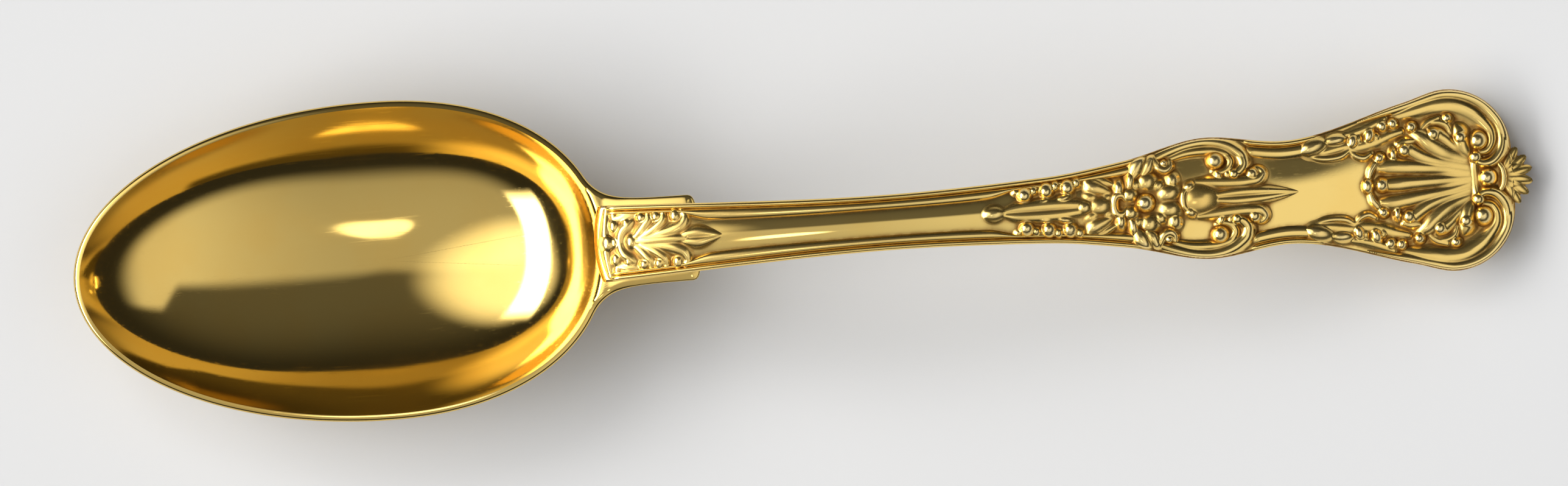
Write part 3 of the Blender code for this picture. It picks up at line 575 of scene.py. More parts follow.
# Thread mouldings: a narrow and a broad round reed of gilt silver side by side, soldered along the
# bar's edges and polished. Their ends run in under the mounts.
OUTER_REED_WIDTH = 0.84
OUTER_REED_TOP = 0.45
INNER_REED_TOP = 0.52
REED_FOOT = 0.08
REED_RUN_OUT = 1.6
REED_RUN_OUT_DEPTH = 0.6
REED_POINTS = 19
REED_EDGE_GAP = 0.02
REED_BAND_GAP = 0.05
REED_ROOT = 0.6
REED_ROOT_MIDDLE = 0.65
REED_ROOT_INSET = 0.3
SIDES = (("left", 1), ("right", -1))
THREAD_RUNS = (("stem", NOSE_START + 1.8, LOBE_ROOT + 4), ("waist", 176.2, 188))
GRID_STEP = 0.1
MAP_START = 76
MAP_END = 222
MAP_REACH = 15
face_map = np.zeros((round((MAP_END - MAP_START) / GRID_STEP), round(2 * MAP_REACH / GRID_STEP)))
mounts = []
moulded_gilt = gilt("moulded_gilt", (0.95, 0.67, 0.21), (0.97, 0.74, 0.3), roughness=0.16, grain=0.2)


def map_place(station, across):
    """Row and column of these places in the map of the mounts' heights."""
    row = np.rint((station - MAP_START) / GRID_STEP).astype(int)
    column = np.rint((across + MAP_REACH) / GRID_STEP).astype(int)
    return np.clip(row, 0, face_map.shape[0] - 1), np.clip(column, 0, face_map.shape[1] - 1)


def map_mount(mount):
    """Keeps a mount's heights over the bar's face in the map, and the mount in the list."""
    station, across, height = vertices(mount).T / MM
    station -= TIP
    np.maximum.at(face_map, map_place(station, across), height - face(station, across))
    mounts.append(mount)


def thread_section(station, side, start, end):
    band = thread_band(station) - REED_BAND_GAP
    share = np.linspace(-1, 1, REED_POINTS)
    middle = (OUTER_REED_WIDTH + band) / 2
    reeds = (
        (OUTER_REED_WIDTH / 2, OUTER_REED_WIDTH / 2, OUTER_REED_TOP),
        (middle, middle - OUTER_REED_WIDTH, INNER_REED_TOP),
    )
    tops = [
        np.column_stack([inset + radius * share, REED_FOOT + (top - REED_FOOT) * (1 - share**2)])
        for inset, radius, top in reeds
    ]
    foot = [(band, -REED_ROOT), (band / 2, -REED_ROOT_MIDDLE), (REED_ROOT_INSET, -REED_ROOT)]
    loop = np.concatenate([*tops, foot])
    run_out = 1 - min(station - start, end - station, REED_RUN_OUT) / REED_RUN_OUT
    across = half_width(station) - REED_EDGE_GAP - loop[:, 0]
    sunk = np.where(loop[:, 1] > 0, REED_RUN_OUT_DEPTH * run_out**2, 0)
    height = arch(station) - nose_fall(station, across) + loop[:, 1] - sunk
    return np.column_stack([side * across, height])


for side_name, side in SIDES:
    for where, start, end in THREAD_RUNS:
        stations = np.arange(start, end, GRID_STEP)
        thread = sweep(stations, lambda station: thread_section(station, side, start, end))
        map_mount(thread)
        node = f"{side_name}_{where}_thread"
        finish(thread, f"{node}_reeds", node, moulded_gilt)

# Palmette at the neck: struck in gilt silver and soldered on the bar, with three curled fronds a side,
# each round a ball, a beaded foot along the bar's front, and a bud that points up the stem.
# A die raises it without undercuts, so it is worked here as heights over the bar's face.
FULLNESS = 0.8
SUNK = -0.045
FOOT = -0.5
SOFTENING = 2
RUN_OUT = 0.06
EDGE_FALL = 0.4
RIDGE_FULLNESS = 1.08
BOLDNESS = 1.35
BALL_REACH = 1.7
SWELL_REACH = 2.2
cast_gilt = gilt("cast_gilt", (0.95, 0.66, 0.2), (0.97, 0.76, 0.34), roughness=0.22, grain=0.3)


def softened(heights, times):
    """Each height drawn towards its neighbours' heights, a number of times."""
    for i in range(times):
        for axis in (0, 1):
            count = heights.shape[axis]
            before = heights.take([0, *range(count - 1)], axis)
            after = heights.take([*range(1, count), count - 1], axis)
            heights = (before + 2 * heights + after) / 4
    return heights


class Relief:
    """A mount worked on a fine grid over the bar's face. Forms are given for the left half: a
    mount on the axis has them on both halves, a side mount on its own side."""

    def __init__(self, start, end, inner, outer, side=1, overhang=False):
        self.side = side
        self.overhang = overhang
        self.stations = np.arange(start, end, GRID_STEP)
        self.across = np.arange(inner, outer, GRID_STEP)
        self.heights = np.full((len(self.stations), len(self.across)), -RUN_OUT)

    def share(self, rows, station, across, half_length, half_width, degrees):
        """How far each place is from an oval's middle, squared, where its edge is at 1."""
        along = self.stations[rows, None] - station
        aside = np.abs(self.across) - across
        cos, sin = math.cos(math.radians(degrees)), math.sin(math.radians(degrees))
        lengthwise = (along * cos + aside * sin) / half_length
        sideways = (aside * cos - along * sin) / half_width
        return lengthwise**2 + sideways**2

    def rows_near(self, station, reach):
        return slice(*np.searchsorted(self.stations, (station - reach, station + reach)))

    def ball(self, station, across, half_length, half_width, top, degrees=0, foot=0):
        """A round or oval cap with a sharp foot."""
        rows = self.rows_near(station, BALL_REACH * max(half_length, half_width))
        share = self.share(rows, station, across, half_length, half_width, degrees)
        cap = np.where(share < 1, np.clip(1 - share, 0, 1) ** FULLNESS, 1 - share)
        self.heights[rows] = np.maximum(self.heights[rows], foot + (top - foot) * cap)

    def swell(self, station, across, half_length, half_width, top, degrees=0):
        """A round or oval swelling that runs out softly into the face."""
        rows = self.rows_near(station, SWELL_REACH * max(half_length, half_width))
        share = self.share(rows, station, across, half_length, half_width, degrees)
        bell = np.where(share < 1, 1 - 0.5 * share, 0.5 * np.exp(1 - np.maximum(share, 1)))
        self.heights[rows] = np.maximum(self.heights[rows], top * bell - RUN_OUT)

    def path(self, knots):
        """Close points along a smooth line through the knots."""
        knots = np.array(knots, float)
        run = np.concatenate([[0], np.cumsum(np.hypot(*np.diff(knots[:, :2], axis=0).T))])
        tangents = np.gradient(knots, run, axis=0)
        at = np.linspace(0, run[-1], 2 + int(run[-1] / GRID_STEP))
        return zip(*(curve(run, knots[:, k], tangents[:, k], at) for k in range(knots.shape[1])))

    def ridge(self, *knots):
        """A rounded ridge through (station, across, half width, top) knots."""
        for station, across, half, top in self.path(knots):
            self.swell(station, across, RIDGE_FULLNESS * half, RIDGE_FULLNESS * half, top)

    def strike(self, name, node, material, boldness=BOLDNESS):
        """Makes the raised part a solid with a flat back, and lays it on the bar."""
        over = np.abs(self.across) - half_width(self.stations)[:, None] + EDGE_FALL
        kept = np.zeros_like(over) if self.overhang else np.maximum(over / EDGE_FALL, 0) ** 2
        bold = np.where(self.heights > 0, boldness * self.heights, self.heights)
        heights = softened(bold - kept, SOFTENING)
        rows, columns = heights.shape
        bpy.ops.object.select_all(action="DESELECT")
        bpy.ops.mesh.primitive_grid_add(x_subdivisions=rows - 1, y_subdivisions=columns - 1, size=1)
        mount = bpy.context.object
        grid = vertices(mount)
        row = np.rint((grid[:, 0] + 0.5) * (rows - 1)).astype(int)
        column = np.rint((grid[:, 1] + 0.5) * (columns - 1)).astype(int)
        height = heights[row, column]
        places = np.column_stack([self.stations[row], self.across[column], height])
        mount.data.vertices.foreach_set("co", places.ravel())
        bpy.ops.object.mode_set(mode="EDIT")
        bpy.ops.mesh.select_all(action="DESELECT")
        bpy.ops.object.mode_set(mode="OBJECT")
        mount.data.vertices.foreach_set("select", height < SUNK)
        bpy.ops.object.mode_set(mode="EDIT")
        bpy.ops.mesh.delete(type="VERT")
        bpy.ops.mesh.select_all(action="SELECT")
        bpy.ops.mesh.extrude_region_move(TRANSFORM_OT_translate={"value": (0, 0, FOOT)})
        bpy.ops.object.mode_set(mode="OBJECT")
        back = np.empty(len(mount.data.vertices), bool)
        mount.data.vertices.foreach_get("select", back)
        station, across, height = vertices(mount).T
        shape(mount, station, self.side * across, face(station, across) + np.where(back, FOOT, height))
        map_mount(mount)
        finish(mount, name, node, material)


palmette = Relief(78.8, 98, -5.4, 5.4)
palmette.ridge((80.4, 4.9, 0.3, 0.25), (80.1, 3.2, 0.4, 0.35), (79.9, 1.6, 0.45, 0.4), (79.8, 0, 0.45, 0.4))
palmette.ball(80.15, 0, 1.15, 1.4, 0.75)
palmette.ball(81.3, 2.6, 0.767, 1.06, 0.54)
palmette.ball(81.3, 0, 0.649, 0.885, 0.495)
palmette.ball(81.4, 4.2, 0.59, 0.708, 0.405)
palmette.ridge(
    (82.1, 0, 0.5, 0.5), (82.2, 1, 0.55, 0.6), (82.6, 1.8, 0.6, 0.65), (83.3, 2.4, 0.55, 0.6),
    (84, 3, 0.4, 0.4),
)
palmette.ridge((81.6, 3.6, 0.4, 0.35), (83.2, 3.9, 0.6, 0.5), (85, 4, 0.35, 0.3))
palmette.swell(83.2, 3, 0.55, 0.6, 0.6)
palmette.swell(83.8, 0, 0.85, 0.95, 0.75)
palmette.ridge(
    (84.3, 0.5, 0.45, 0.5), (85.2, 1.4, 0.6, 0.65), (86, 2.4, 0.6, 0.7), (86.6, 3.2, 0.5, 0.65),
    (86.6, 3.9, 0.4, 0.5),
)
palmette.ball(85.5, 3.6, 0.885, 0.944, 0.765)
palmette.ridge(
    (85.3, 0.5, 0.5, 0.55), (86.8, 1.3, 0.65, 0.7), (88, 2.2, 0.62, 0.75), (88.8, 3.1, 0.52, 0.7),
    (88.9, 3.9, 0.42, 0.55),
)
palmette.ball(87.75, 3.6, 0.92, 0.968, 0.792)
palmette.ridge(
    (86.5, 0.45, 0.55, 0.6), (88.6, 0.95, 0.75, 0.75), (90.4, 1.5, 0.8, 0.8), (91.7, 2.3, 0.7, 0.75),
    (92.1, 3.2, 0.55, 0.7), (91.7, 4, 0.42, 0.5),
)
palmette.ball(90.6, 3.5, 1, 1.06, 0.828)
palmette.ridge((84.6, 0, 0.5, 0.6), (87, 0, 0.7, 0.8), (90, 0, 0.7, 0.8), (92, 0, 0.5, 0.65))
palmette.ridge(
    (91, 0.2, 0.4, 0.5), (92.6, 0.6, 0.65, 0.65), (94, 0.75, 0.7, 0.65), (95.6, 0.45, 0.5, 0.5),
    (97.2, 0.05, 0.2, 0.25),
)
palmette.strike("neck_palmette_casting", "neck_palmette", cast_gilt, boldness=1)

# Husk spray below the rosette: a gilt silver casting, soldered on, of a long leaf with three berries
# a side, each with a small one by it, and a calyx of short leaves that opens towards the rosette.
spray = Relief(135.8, 160.4, -5.4, 5.4)
spray.ridge((136.5, 0, 0.25, 0.15), (138, 0, 0.9, 0.65), (139.6, 0, 0.5, 0.35))
spray.ridge(
    (139.4, 0.2, 0.3, 0.3), (141.5, 0.6, 0.65, 0.5), (144, 0.75, 0.8, 0.6), (148, 0.75, 0.8, 0.55),
    (151, 0.5, 0.6, 0.4),
)
spray.swell(142.6, 1.05, 1, 0.45, 0.5, 20)
spray.swell(145.6, 1.4, 1.1, 0.5, 0.6, 15)
spray.swell(148.7, 1.65, 1.2, 0.55, 0.65, 15)
spray.ridge((141.3, 3.1, 0.4, 0.35), (145, 3.2, 0.6, 0.4), (149, 3.4, 0.6, 0.4), (151.3, 3.5, 0.5, 0.3))
spray.swell(141.6, 3.1, 0.6, 0.5, 0.5)
for station, across in ((142.9, 2.6), (146.2, 3), (149.4, 3.25)):
    spray.ball(station, across, 1.3, 1.3, 0.945)
    spray.swell(station + 1.4, across + 0.5, 0.65, 0.7, 0.75)
spray.swell(151.8, 0, 1, 0.95, 0.7)
spray.swell(154.2, 0, 1.5, 1.25, 0.8)
spray.swell(152.8, 1.5, 1, 0.7, 0.45, -20)
spray.swell(155.2, 1.3, 0.8, 0.6, 0.45)
spray.ridge(
    (158, 0.7, 0.35, 0.4), (157.5, 1.4, 0.5, 0.6), (156.7, 1.4, 0.55, 0.65), (156.3, 0.7, 0.5, 0.6),
    (156.2, 0, 0.5, 0.6),
)
spray.ridge((152.2, 3.8, 0.5, 0.4), (153, 3.2, 0.9, 0.75), (154.3, 2.6, 0.8, 0.65), (155.6, 2, 0.4, 0.35))
spray.ridge((153.6, 4.2, 0.35, 0.4), (154.8, 3.8, 0.5, 0.5), (156, 3.2, 0.35, 0.35))
spray.swell(157.1, 2.6, 0.75, 1.1, 0.8)
spray.swell(158.9, 3.6, 0.7, 1.4, 0.85, -10)
spray.strike("husk_spray_casting", "husk_spray", cast_gilt)

# Rosette: a silver casting of round petals with a ball set in its middle, gilt and left satin,
# and soldered on the bar where the two lobes begin.
petals = Relief(157, 167.8, -5.2, 5.2)
petals.swell(161.4, 3.3, 1.3, 1.3, 0.85)
petals.swell(164.7, 1.25, 1.5, 1.2, 0.85, 10)
petals.swell(158.7, 1.4, 1, 1, 0.75)
petals.swell(165.2, 3.1, 0.9, 1.1, 0.75)
petals.swell(163.1, 2.5, 0.9, 0.8, 0.6, 40)
petals.swell(159.6, 2.9, 0.9, 0.8, 0.6, -40)
petals.strike("rosette_petals", "rosette", cast_gilt)
ball = Relief(158.6, 163.2, -2.3, 2.3)
ball.ball(160.9, 0, 1.59, 1.59, 1.22)
ball.strike("rosette_ball", "rosette_boss", cast_gilt)

# Wing leaves: a pair of silver castings, gilt and left satin, soldered on beside the rosette.
# They spread over the bar's edges and curl round a ball.
for side_name, side in SIDES:
    wing = Relief(157.4, 167, 3, 8.4, side)
    wing.ridge((159.3, 4.2, 0.7, 0.7), (160, 5.3, 1, 0.95), (160.6, 6.2, 0.7, 0.8), (160.9, 6.6, 0.4, 0.5))
    wing.ridge((161, 4.4, 0.6, 0.7), (161.8, 5.4, 0.8, 0.9), (162.2, 6.3, 0.6, 0.75))
    wing.ridge(
        (162.6, 6.6, 0.4, 0.5), (162.9, 5.8, 0.55, 0.75), (163.4, 5, 0.6, 0.8), (164.3, 4.7, 0.6, 0.8),
        (165, 5.2, 0.5, 0.7), (165, 6, 0.4, 0.55),
    )
    wing.ball(164.1, 5.7, 0.767, 0.767, 0.81)
    node = f"{side_name}_wing_leaf"
    wing.strike(f"{node}_casting", node, cast_gilt)

# Leaves at the waist: a gilt silver casting, soldered on, of a tulip bud, a long leaf that points
# to the broad end and two side leaves, each curled round a ball.
leaves = Relief(165.4, 184.8, -5, 5)
leaves.swell(169.4, 0, 2.4, 1.9, 1)
leaves.ridge((166.6, 0, 0.55, 0.7), (166.7, 0.9, 0.5, 0.65), (167.3, 1.7, 0.4, 0.5))
leaves.swell(167.7, 1.9, 0.9, 0.7, 0.7, 30)
leaves.ridge(
    (168.8, 2.6, 0.4, 0.35), (171, 2.4, 0.7, 0.6), (174, 2.2, 0.85, 0.75), (176.6, 2.2, 0.85, 0.8),
    (178.4, 2.5, 0.7, 0.75), (178.9, 3.2, 0.55, 0.65), (178.4, 3.9, 0.4, 0.5), (177.6, 4.1, 0.3, 0.35),
)
leaves.ball(177.3, 3.2, 1, 1, 0.9, foot=0.3)
leaves.ridge(
    (171.8, 0.4, 0.5, 0.55), (174.5, 0.6, 0.7, 0.7), (178, 0.55, 0.65, 0.6), (181, 0.35, 0.45, 0.45),
    (184, 0.05, 0.12, 0.1),
)
leaves.swell(172.2, 3.4, 0.6, 0.85, 0.7, 30)
leaves.swell(173.6, 3.4, 0.55, 0.8, 0.65, 30)
leaves.strike("waist_leaves_casting", "waist_leaves", cast_gilt)

# Scrolls of the middle lobes: double silver wires, gilt and polished, bent along the edge and
# soldered on. They curl in, the outer one to a small knob and the inner one round a ball.
for side_name, side in SIDES:
    scroll = Relief(161.6, 178, 2.2, 9.6, side)
    scroll.ridge(
        (162.6, 6.4, 0.45, 0.4), (165, 7.35, 0.62, 0.55), (168, 8.2, 0.66, 0.6),
        (170.6, 8.4, 0.68, 0.62), (172.8, 8, 0.72, 0.7), (174.8, 7, 0.8, 0.8), (175.9, 5.9, 0.85, 0.88),
        (176.1, 4.7, 0.82, 0.9), (175.4, 3.8, 0.75, 0.88), (174.5, 3.4, 0.65, 0.8),
    )
    scroll.ridge(
        (164.8, 6.2, 0.4, 0.35), (167.2, 6.9, 0.55, 0.5), (169.8, 7.1, 0.6, 0.55),
        (172, 6.95, 0.62, 0.6), (173.6, 6.3, 0.65, 0.68), (174.2, 5.3, 0.65, 0.7),
        (173.7, 4.3, 0.6, 0.65), (172.6, 3.8, 0.5, 0.55), (171.4, 4, 0.35, 0.35),
    )
    scroll.ball(174.6, 3.4, 0.944, 0.944, 0.945, foot=0.3)
    node = f"{side_name}_lobe_scroll"
    scroll.strike(f"{node}_wire", node, moulded_gilt)
    ball = Relief(169.6, 174.2, 3.3, 7.9, side)
    ball.ball(171.9, 5.6, 1.53, 1.53, 1.17)
    node = f"{side_name}_lobe_ball"
    ball.strike(f"{node}_bead", node, cast_gilt)

# Sprigs along the edges: a pair of silver castings of leaves and berries, gilt and left satin,
# soldered on where the mouldings end. They climb into the broad end.
for side_name, side in SIDES:
    sprig = Relief(184, 202, 3.2, 11, side)
    sprig.ridge((185.2, 5.9, 0.5, 0.5), (186.4, 6.3, 1, 0.95), (187.6, 6.6, 1, 0.9), (188.8, 6.9, 0.5, 0.5))
    sprig.ridge((188.8, 7, 0.5, 0.5), (190, 7.2, 0.75, 0.85), (191.4, 7.3, 0.6, 0.7), (192, 7.4, 0.3, 0.4))
    sprig.ridge((186, 5.4, 0.3, 0.3), (188, 5.6, 0.55, 0.5), (190, 6, 0.7, 0.55), (192, 6.3, 0.6, 0.5))
    sprig.ridge(
        (185.9, 5.3, 0.3, 0.3), (187.5, 4.75, 0.42, 0.45), (189.5, 4.6, 0.46, 0.5),
        (191.2, 4.9, 0.46, 0.5), (192.3, 5.6, 0.4, 0.45),
    )
    sprig.ridge(
        (192.5, 5.4, 0.35, 0.4), (193.4, 4.6, 0.45, 0.5), (194.5, 4.3, 0.46, 0.5),
        (195.5, 4.8, 0.4, 0.4),
    )
    sprig.ridge(
        (190.5, 6.3, 0.6, 0.4), (193, 6.1, 0.75, 0.5), (196, 6.6, 0.8, 0.5), (198.5, 7.4, 0.7, 0.5),
        (200.4, 7.8, 0.45, 0.35),
    )
    sprig.ridge(
        (191.4, 7.9, 0.35, 0.35), (193.6, 8.2, 0.6, 0.55), (196, 9, 0.65, 0.6), (198, 9.9, 0.5, 0.5),
    )
    sprig.ball(192.9, 6.9, 1, 1.36, 0.945, -20)
    sprig.ball(195.5, 7.6, 1.06, 1.47, 1.03, -20)
    sprig.ball(197.6, 8.8, 1.06, 1.12, 0.945)
    sprig.ball(199.2, 9.1, 1, 1.06, 0.9)
    sprig.swell(193.9, 7.2, 0.5, 0.8, 0.75)
    sprig.swell(196.6, 7.3, 0.5, 0.8, 0.7)
    node = f"{side_name}_berry_sprig"
    sprig.strike(f"{node}_casting", node, cast_gilt)

# Shell: a gilt silver casting, soldered on, of swelling lobes that rise from the hinge's hollow, some
# plain and some with a ball near the round end, and a frill of beads and small curls.
shell = Relief(193, 212.4, -10.8, 10.8)
shell.swell(204, 0, 5.4, 6, 0.3)
shell.ridge(
    (210.4, 0, 0.5, 0.15), (208, 0, 0.6, 0.3), (205, 0, 0.8, 0.6), (202, 0, 1, 0.85),
    (199.5, 0, 1.1, 0.95), (197.8, 0, 0.95, 0.85),
)
shell.ridge(
    (210.2, 0.9, 0.45, 0.15), (207, 1.7, 0.7, 0.4), (203.5, 2.15, 0.95, 0.75), (200.5, 2.5, 1.1, 0.85),
    (198.2, 2.7, 1, 0.75), (196.8, 2.6, 0.6, 0.5),
)
shell.ridge(
    (210.1, 1.8, 0.45, 0.15), (207.5, 2.5, 0.7, 0.4), (205.2, 3.1, 0.85, 0.7), (203.2, 3.9, 1, 0.9),
    (201.6, 4.9, 1, 0.95),
)
shell.ridge(
    (210, 2.9, 0.5, 0.2), (208, 3.7, 0.9, 0.5), (206.2, 4.6, 1.15, 0.85), (204.6, 5.7, 1.15, 1),
    (203.4, 6.8, 0.95, 0.9), (202.4, 7.4, 0.6, 0.55),
)
shell.ridge(
    (209.3, 4.2, 0.5, 0.3), (208, 5.3, 0.7, 0.55), (206.8, 6.4, 0.8, 0.75), (205.6, 7.2, 0.9, 0.85),
    (204.8, 7.7, 0.6, 0.6),
)
shell.ridge(
    (210.5, 3.6, 0.5, 0.3), (209.8, 4.8, 0.9, 0.7), (209.5, 6, 1.05, 0.9), (209.3, 7.2, 0.85, 0.7),
    (209, 8, 0.45, 0.4),
)
shell.ridge((207.9, 7, 0.4, 0.4), (207.4, 8.2, 0.5, 0.55), (206.4, 8.8, 0.5, 0.55), (205, 8.9, 0.4, 0.45))
shell.ridge((203.4, 7.9, 0.35, 0.4), (204.6, 8.9, 0.5, 0.5), (206.2, 9.5, 0.45, 0.45))
shell.ridge((195, 1.2, 0.4, 0.5), (195.3, 2.2, 0.5, 0.6), (196, 3.2, 0.5, 0.6))
shell.ridge((199.8, 6, 0.45, 0.5), (201, 6.3, 0.55, 0.6), (202.2, 6.3, 0.4, 0.5))
for station, across in ((196.9, 0), (200.7, 5), (205.3, 7.1), (209.4, 6.3)):
    shell.ball(station, across, 1, 1, 1.08, foot=0.5)
shell.ball(194.7, 0, 1.06, 1.36, 0.9)
shell.ball(196.8, 4.1, 1, 1, 0.855)
shell.swell(198.9, 4.5, 0.6, 0.95, 0.9)
shell.ball(202, 8.4, 1.06, 1.06, 0.9)
shell.swell(207.6, 9.4, 0.7, 0.7, 0.8)
shell.strike("scallop_shell_casting", "scallop_shell", cast_gilt)

# Scrolls of the broad end: double silver wires, bent along the edge, polished and soldered on.
# They curl in round a ball each. The wire along the edge is given by stations, and its place across
# follows the bar's width.
EDGE_WIRE = (
    (194, 0.25, 0.2), (197, 0.45, 0.4), (200, 0.62, 0.55), (203.5, 0.68, 0.62), (207.4, 0.7, 0.65),
    (210, 0.72, 0.68),
)
edge_wire = [(station, half_width(station) - half, half, top) for station, half, top in EDGE_WIRE]
for side_name, side in SIDES:
    scroll = Relief(193, 217.4, 0.8, 14.6, side)
    scroll.ridge(
        *edge_wire, (212.6, 11.4, 0.76, 0.72), (214.4, 9.6, 0.8, 0.78), (215.6, 7.6, 0.82, 0.82),
        (215.9, 5.4, 0.82, 0.85), (215.2, 3.6, 0.78, 0.88), (213.9, 2.4, 0.7, 0.85),
        (212.5, 2.2, 0.6, 0.75), (211.5, 2.7, 0.5, 0.6),
    )
    scroll.ridge(
        (199.5, 10.1, 0.5, 0.3), (203, 10.9, 0.95, 0.6), (206, 11.4, 1.05, 0.65),
        (208.8, 11.2, 1.05, 0.68), (211.2, 10.1, 1, 0.72), (213, 8.5, 0.92, 0.75),
        (214.1, 6.7, 0.82, 0.78), (214, 5.1, 0.7, 0.78), (213.2, 4.1, 0.6, 0.7), (212.2, 3.9, 0.5, 0.55),
    )
    node = f"{side_name}_end_scroll"
    scroll.strike(f"{node}_wire", node, moulded_gilt)
    ball = Relief(209.6, 214.7, 3.1, 8.3, side)
    ball.ball(212.1, 5.7, 1.71, 1.71, 1.3)
    node = f"{side_name}_end_ball"
    ball.strike(f"{node}_bead", node, cast_gilt)

# Boss between the end scrolls: a silver casting of a ball between two collars, gilt, left satin and
# soldered on the bar.
middle_boss = Relief(209.8, 217, -4.8, 4.8)
middle_boss.ball(213.1, 0, 1.53, 1.53, 1.17)
middle_boss.ridge((211.3, 2.8, 0.5, 0.55), (211.2, 1.4, 0.45, 0.32), (211.2, 0, 0.45, 0.28))
middle_boss.ball(211.5, 3.2, 1, 1, 0.9, foot=0.3)
middle_boss.ridge((214.8, 2.2, 0.3, 0.4), (215.4, 1.2, 0.42, 0.55), (215.6, 0, 0.45, 0.55))
middle_boss.strike("end_boss_casting", "end_boss", cast_gilt)

# Fan at the very end: a silver casting of six oval rays that stand out past the bar's end, gilt,
# left satin and soldered on. Each ray leans away from the spoon's axis by its degrees.
FAN_ROOT = 215
RAY_MIDDLE = 2.9
RAY_LENGTH = 4.2
RAY_WIDTH = 1.5
RAY_TOP = 0.5
RAY_DEGREES = (12, 34, 56)
fan = Relief(214.6, 221, -5.4, 5.4, overhang=True)
for degrees in RAY_DEGREES:
    out = RAY_MIDDLE * math.cos(math.radians(degrees))
    aside = RAY_MIDDLE * math.sin(math.radians(degrees))
    fan.ball(FAN_ROOT + out, aside, RAY_LENGTH / 2, RAY_WIDTH / 2, RAY_TOP, degrees)
fan.strike("end_fan_casting", "end_fan", cast_gilt, boldness=0.85)

# Painted shade and dirt: the hollows of the mounts and the bar's face close to them are painted dark
# brown, as shade and as dirt where no cloth gets in; the high places are paler, rubbed and painted as lit.
RELIEF_DEPTH = 0.42
SURROUNDINGS = 60
BURIED = -0.3
# How far each place stands out of its surroundings: low places get painted shade, high places a paler gold.
around = softened(face_map, SURROUNDINGS)
for piece in (handle_bar, *mounts):
    station, across, height = vertices(piece).T / MM
    station -= TIP
    own = height - face(station, across)
    stands_out = np.where(own > BURIED, own - around[map_place(station, across)], 0)
    relief = piece.data.attributes.new("relief", "FLOAT", "POINT")
    relief.data.foreach_set("value", np.clip(stands_out / RELIEF_DEPTH, -1, 1))

# Floor: a plain pale table top, painted and a little dull. It is no part of the spoon and only
# catches its shadow.
FLOOR_SIZE = 6
FLOOR_GREY = (0.6, 0.6, 0.6, 1)
FLOOR_ROUGHNESS = 0.7
bpy.ops.object.select_all(action="DESELECT")
bpy.ops.mesh.primitive_plane_add(size=FLOOR_SIZE, location=(0, 0, 0))
floor = bpy.context.object
floor.name = "table_top"
floor_paint = bpy.data.materials.new("table_top")
floor_paint.use_nodes = True
floor_shader = floor_paint.node_tree.nodes["Principled BSDF"]
floor_shader.inputs["Base Color"].default_value = FLOOR_GREY
floor_shader.inputs["Roughness"].default_value = FLOOR_ROUGHNESS
floor.data.materials.append(floor_paint)

# Light: a wide bright panel overhead and to the front, a dim back, a window to the left and a small
# lamp near the camera, all for the gilding to mirror, and a key lamp for the floor and its shadow.
# Each soft change is given as where it starts and ends, and its value at each of them.
PANEL_EDGE = 0.1
PANEL_SPREAD = (0.5, 0.64, 0, 0.3)
PANEL_FRONT = (-0.06, 0.1, 1, 0)
PANEL_LOW = (0.35, 0.62, 0, 1)
PANEL_LEFT = (0, 0.55, 0.55, 1)
PANEL_RIGHT = (0.7, 0.97, 1, 0.35)
BACK = (0.25, 1, 0.04, 0.17)
WINDOW = Vector((-0.84, 0.06, 0.54)).normalized()
WINDOW_SIZE = (37, 10)
WINDOW_STRENGTH = 13
WINDOW_SOFTNESS = (0.7, 1.1)
WINDOW_GLOW = (-0.66, 0.25, 0.7)
GLOW_SIZE = (36, 12)
GLOW_STRENGTH = 2.2
LAMP = (-0.06, -0.36, 0.93)
LAMP_SIZE = (7, 4)
LAMP_STRENGTH = 3.2
BACKDROP = 0.9
world = bpy.data.worlds.new("studio")
bpy.context.scene.world = world
world.use_nodes = True
sky = world.node_tree
sky.nodes.clear()
direction = add_node(sky, "ShaderNodeTexCoord", {}).outputs["Generated"]
towards = add_node(sky, "ShaderNodeSeparateXYZ", {"Vector": direction}).outputs


def soft_spot(centre, outer_degrees, inner_degrees, strength):
    """A soft-edged round of light, fading from the inner to the outer angle off its centre."""
    dot = add_node(
        sky, "ShaderNodeVectorMath", {0: direction, 1: Vector(centre).normalized()}, operation="DOT_PRODUCT"
    )
    outer, inner = (math.cos(math.radians(degrees)) for degrees in (outer_degrees, inner_degrees))
    return remap(sky, dot.outputs["Value"], outer, inner, 0, strength)


def soft_window(centre, wide_degrees, high_degrees, strength):
    """A soft-edged oblong of light, this far to each side and up and down."""
    to_the_side = centre.cross((0, 0, 1)).normalized()
    shares = []
    for axis, degrees in ((to_the_side, wide_degrees), (to_the_side.cross(centre), high_degrees)):
        dot = add_node(sky, "ShaderNodeVectorMath", {0: direction, 1: axis}, operation="DOT_PRODUCT")
        off = calculate(sky, "ABSOLUTE", dot.outputs["Value"])
        limit = math.sin(math.radians(degrees))
        shares.append(remap(sky, off, *(part * limit for part in WINDOW_SOFTNESS), 1, 0))
    ahead = add_node(sky, "ShaderNodeVectorMath", {0: direction, 1: centre}, operation="DOT_PRODUCT")
    shares.append(calculate(sky, "GREATER_THAN", ahead.outputs["Value"], 0))
    share = calculate(sky, "MULTIPLY", shares[0], calculate(sky, "MULTIPLY", shares[1], shares[2]))
    return calculate(sky, "MULTIPLY", share, strength)


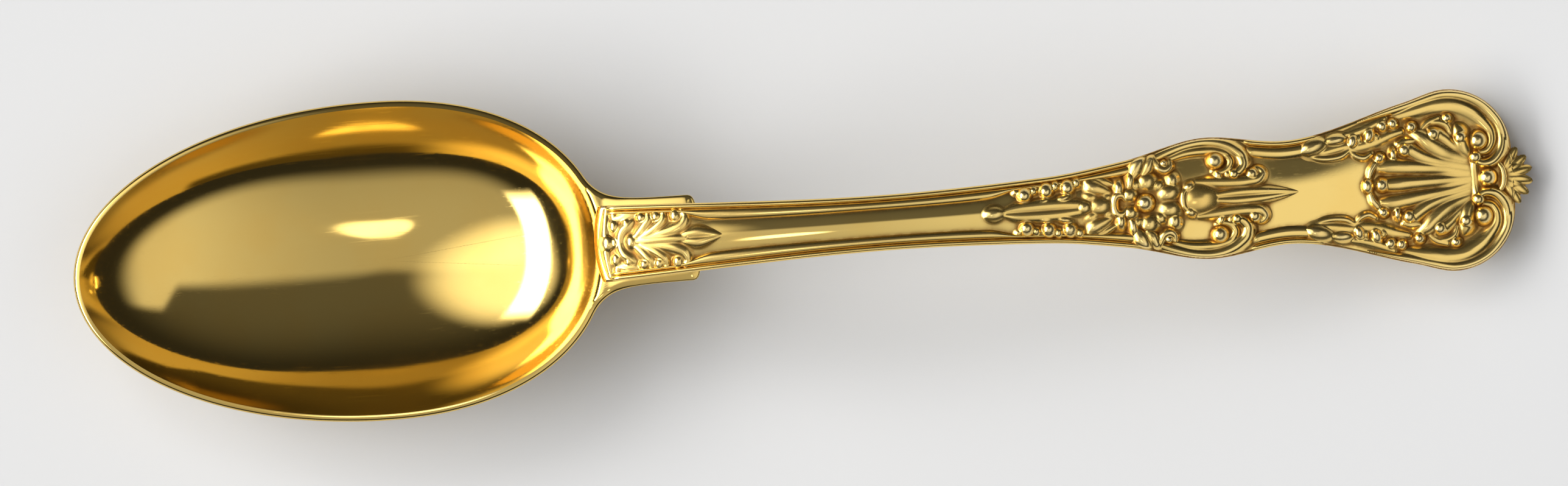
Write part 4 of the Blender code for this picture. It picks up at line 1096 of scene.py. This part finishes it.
past_zenith = calculate(sky, "MULTIPLY_ADD", towards["Z"], -PANEL_EDGE, towards["Y"])
spread = remap(sky, towards["X"], *PANEL_SPREAD)
front = remap(sky, calculate(sky, "SUBTRACT", past_zenith, spread), *PANEL_FRONT)
above = remap(sky, towards["Z"], *PANEL_LOW)
panel = calculate(sky, "MULTIPLY", front, above)
panel = calculate(sky, "MULTIPLY", panel, remap(sky, towards["X"], *PANEL_LEFT))
panel = calculate(sky, "MULTIPLY", panel, remap(sky, towards["X"], *PANEL_RIGHT))
back = remap(sky, towards["Z"], *BACK)
glow = calculate(sky, "ADD", panel, back)
glow = calculate(sky, "ADD", glow, soft_spot(WINDOW_GLOW, *GLOW_SIZE, GLOW_STRENGTH))
glow = calculate(sky, "ADD", glow, soft_window(WINDOW, *WINDOW_SIZE, WINDOW_STRENGTH))
glow = calculate(sky, "ADD", glow, soft_spot(LAMP, *LAMP_SIZE, LAMP_STRENGTH))
seen = add_node(sky, "ShaderNodeLightPath", {}).outputs["Is Camera Ray"]
glow = calculate(sky, "MULTIPLY", glow, calculate(sky, "SUBTRACT", 1, seen))
glow = calculate(sky, "MULTIPLY_ADD", seen, BACKDROP, glow)
background = add_node(sky, "ShaderNodeBackground", {"Strength": glow})
add_node(sky, "ShaderNodeOutputWorld", {"Surface": background.outputs[0]})

KEY_PLACE = (-0.5, 0.7, 0.9)
KEY_SIZE = 0.35
KEY_POWER = 2
bpy.ops.object.light_add(type="AREA", location=KEY_PLACE)
key = bpy.context.object
key.name = "key_lamp"
key.data.size = KEY_SIZE
key.data.energy = KEY_POWER
key.rotation_euler = (-key.location).to_track_quat("-Z", "Y").to_euler()
key.visible_camera = False
key.visible_glossy = False

# Camera: straight above, turned so that the handle rises a little to the right. Places in the
# picture are pixels of its 2576 by 798 frame.
CAMERA_HEIGHT = 1.6
SPOON_MIDDLE_HEIGHT = 0.015
SENSOR_WIDTH = 36
FRAME_WIDTH = 2576
FRAME_HEIGHT = 798
SPOON_PIXELS = 2414
SPOON_LENGTH = 220
PIXELS_PER_MM = SPOON_PIXELS / SPOON_LENGTH
HANDLE_RISE = 139
HANDLE_RUN = 1838
HANDLE_TURN = math.atan2(HANDLE_RISE, HANDLE_RUN)
ON_AXIS_PIXEL = (552, 434)
ON_AXIS_FROM_TIP = 433
to_right = (FRAME_WIDTH / 2 - ON_AXIS_PIXEL[0]) / PIXELS_PER_MM
to_top = (ON_AXIS_PIXEL[1] - FRAME_HEIGHT / 2) / PIXELS_PER_MM
along = to_right * math.cos(HANDLE_TURN) + to_top * math.sin(HANDLE_TURN)
across = -to_right * math.sin(HANDLE_TURN) + to_top * math.cos(HANDLE_TURN)
frame_middle = ON_AXIS_FROM_TIP / PIXELS_PER_MM + along + TIP
bpy.ops.object.camera_add(location=(frame_middle * MM, across * MM, CAMERA_HEIGHT))
camera = bpy.context.object
camera.rotation_euler = (0, 0, -HANDLE_TURN)
camera.data.sensor_width = SENSOR_WIDTH
frame_reach = FRAME_WIDTH / PIXELS_PER_MM * MM
camera.data.lens = SENSOR_WIDTH * (CAMERA_HEIGHT - SPOON_MIDDLE_HEIGHT) / frame_reach
bpy.context.scene.camera = camera
bpy.context.scene.view_settings.view_transform = "Standard"
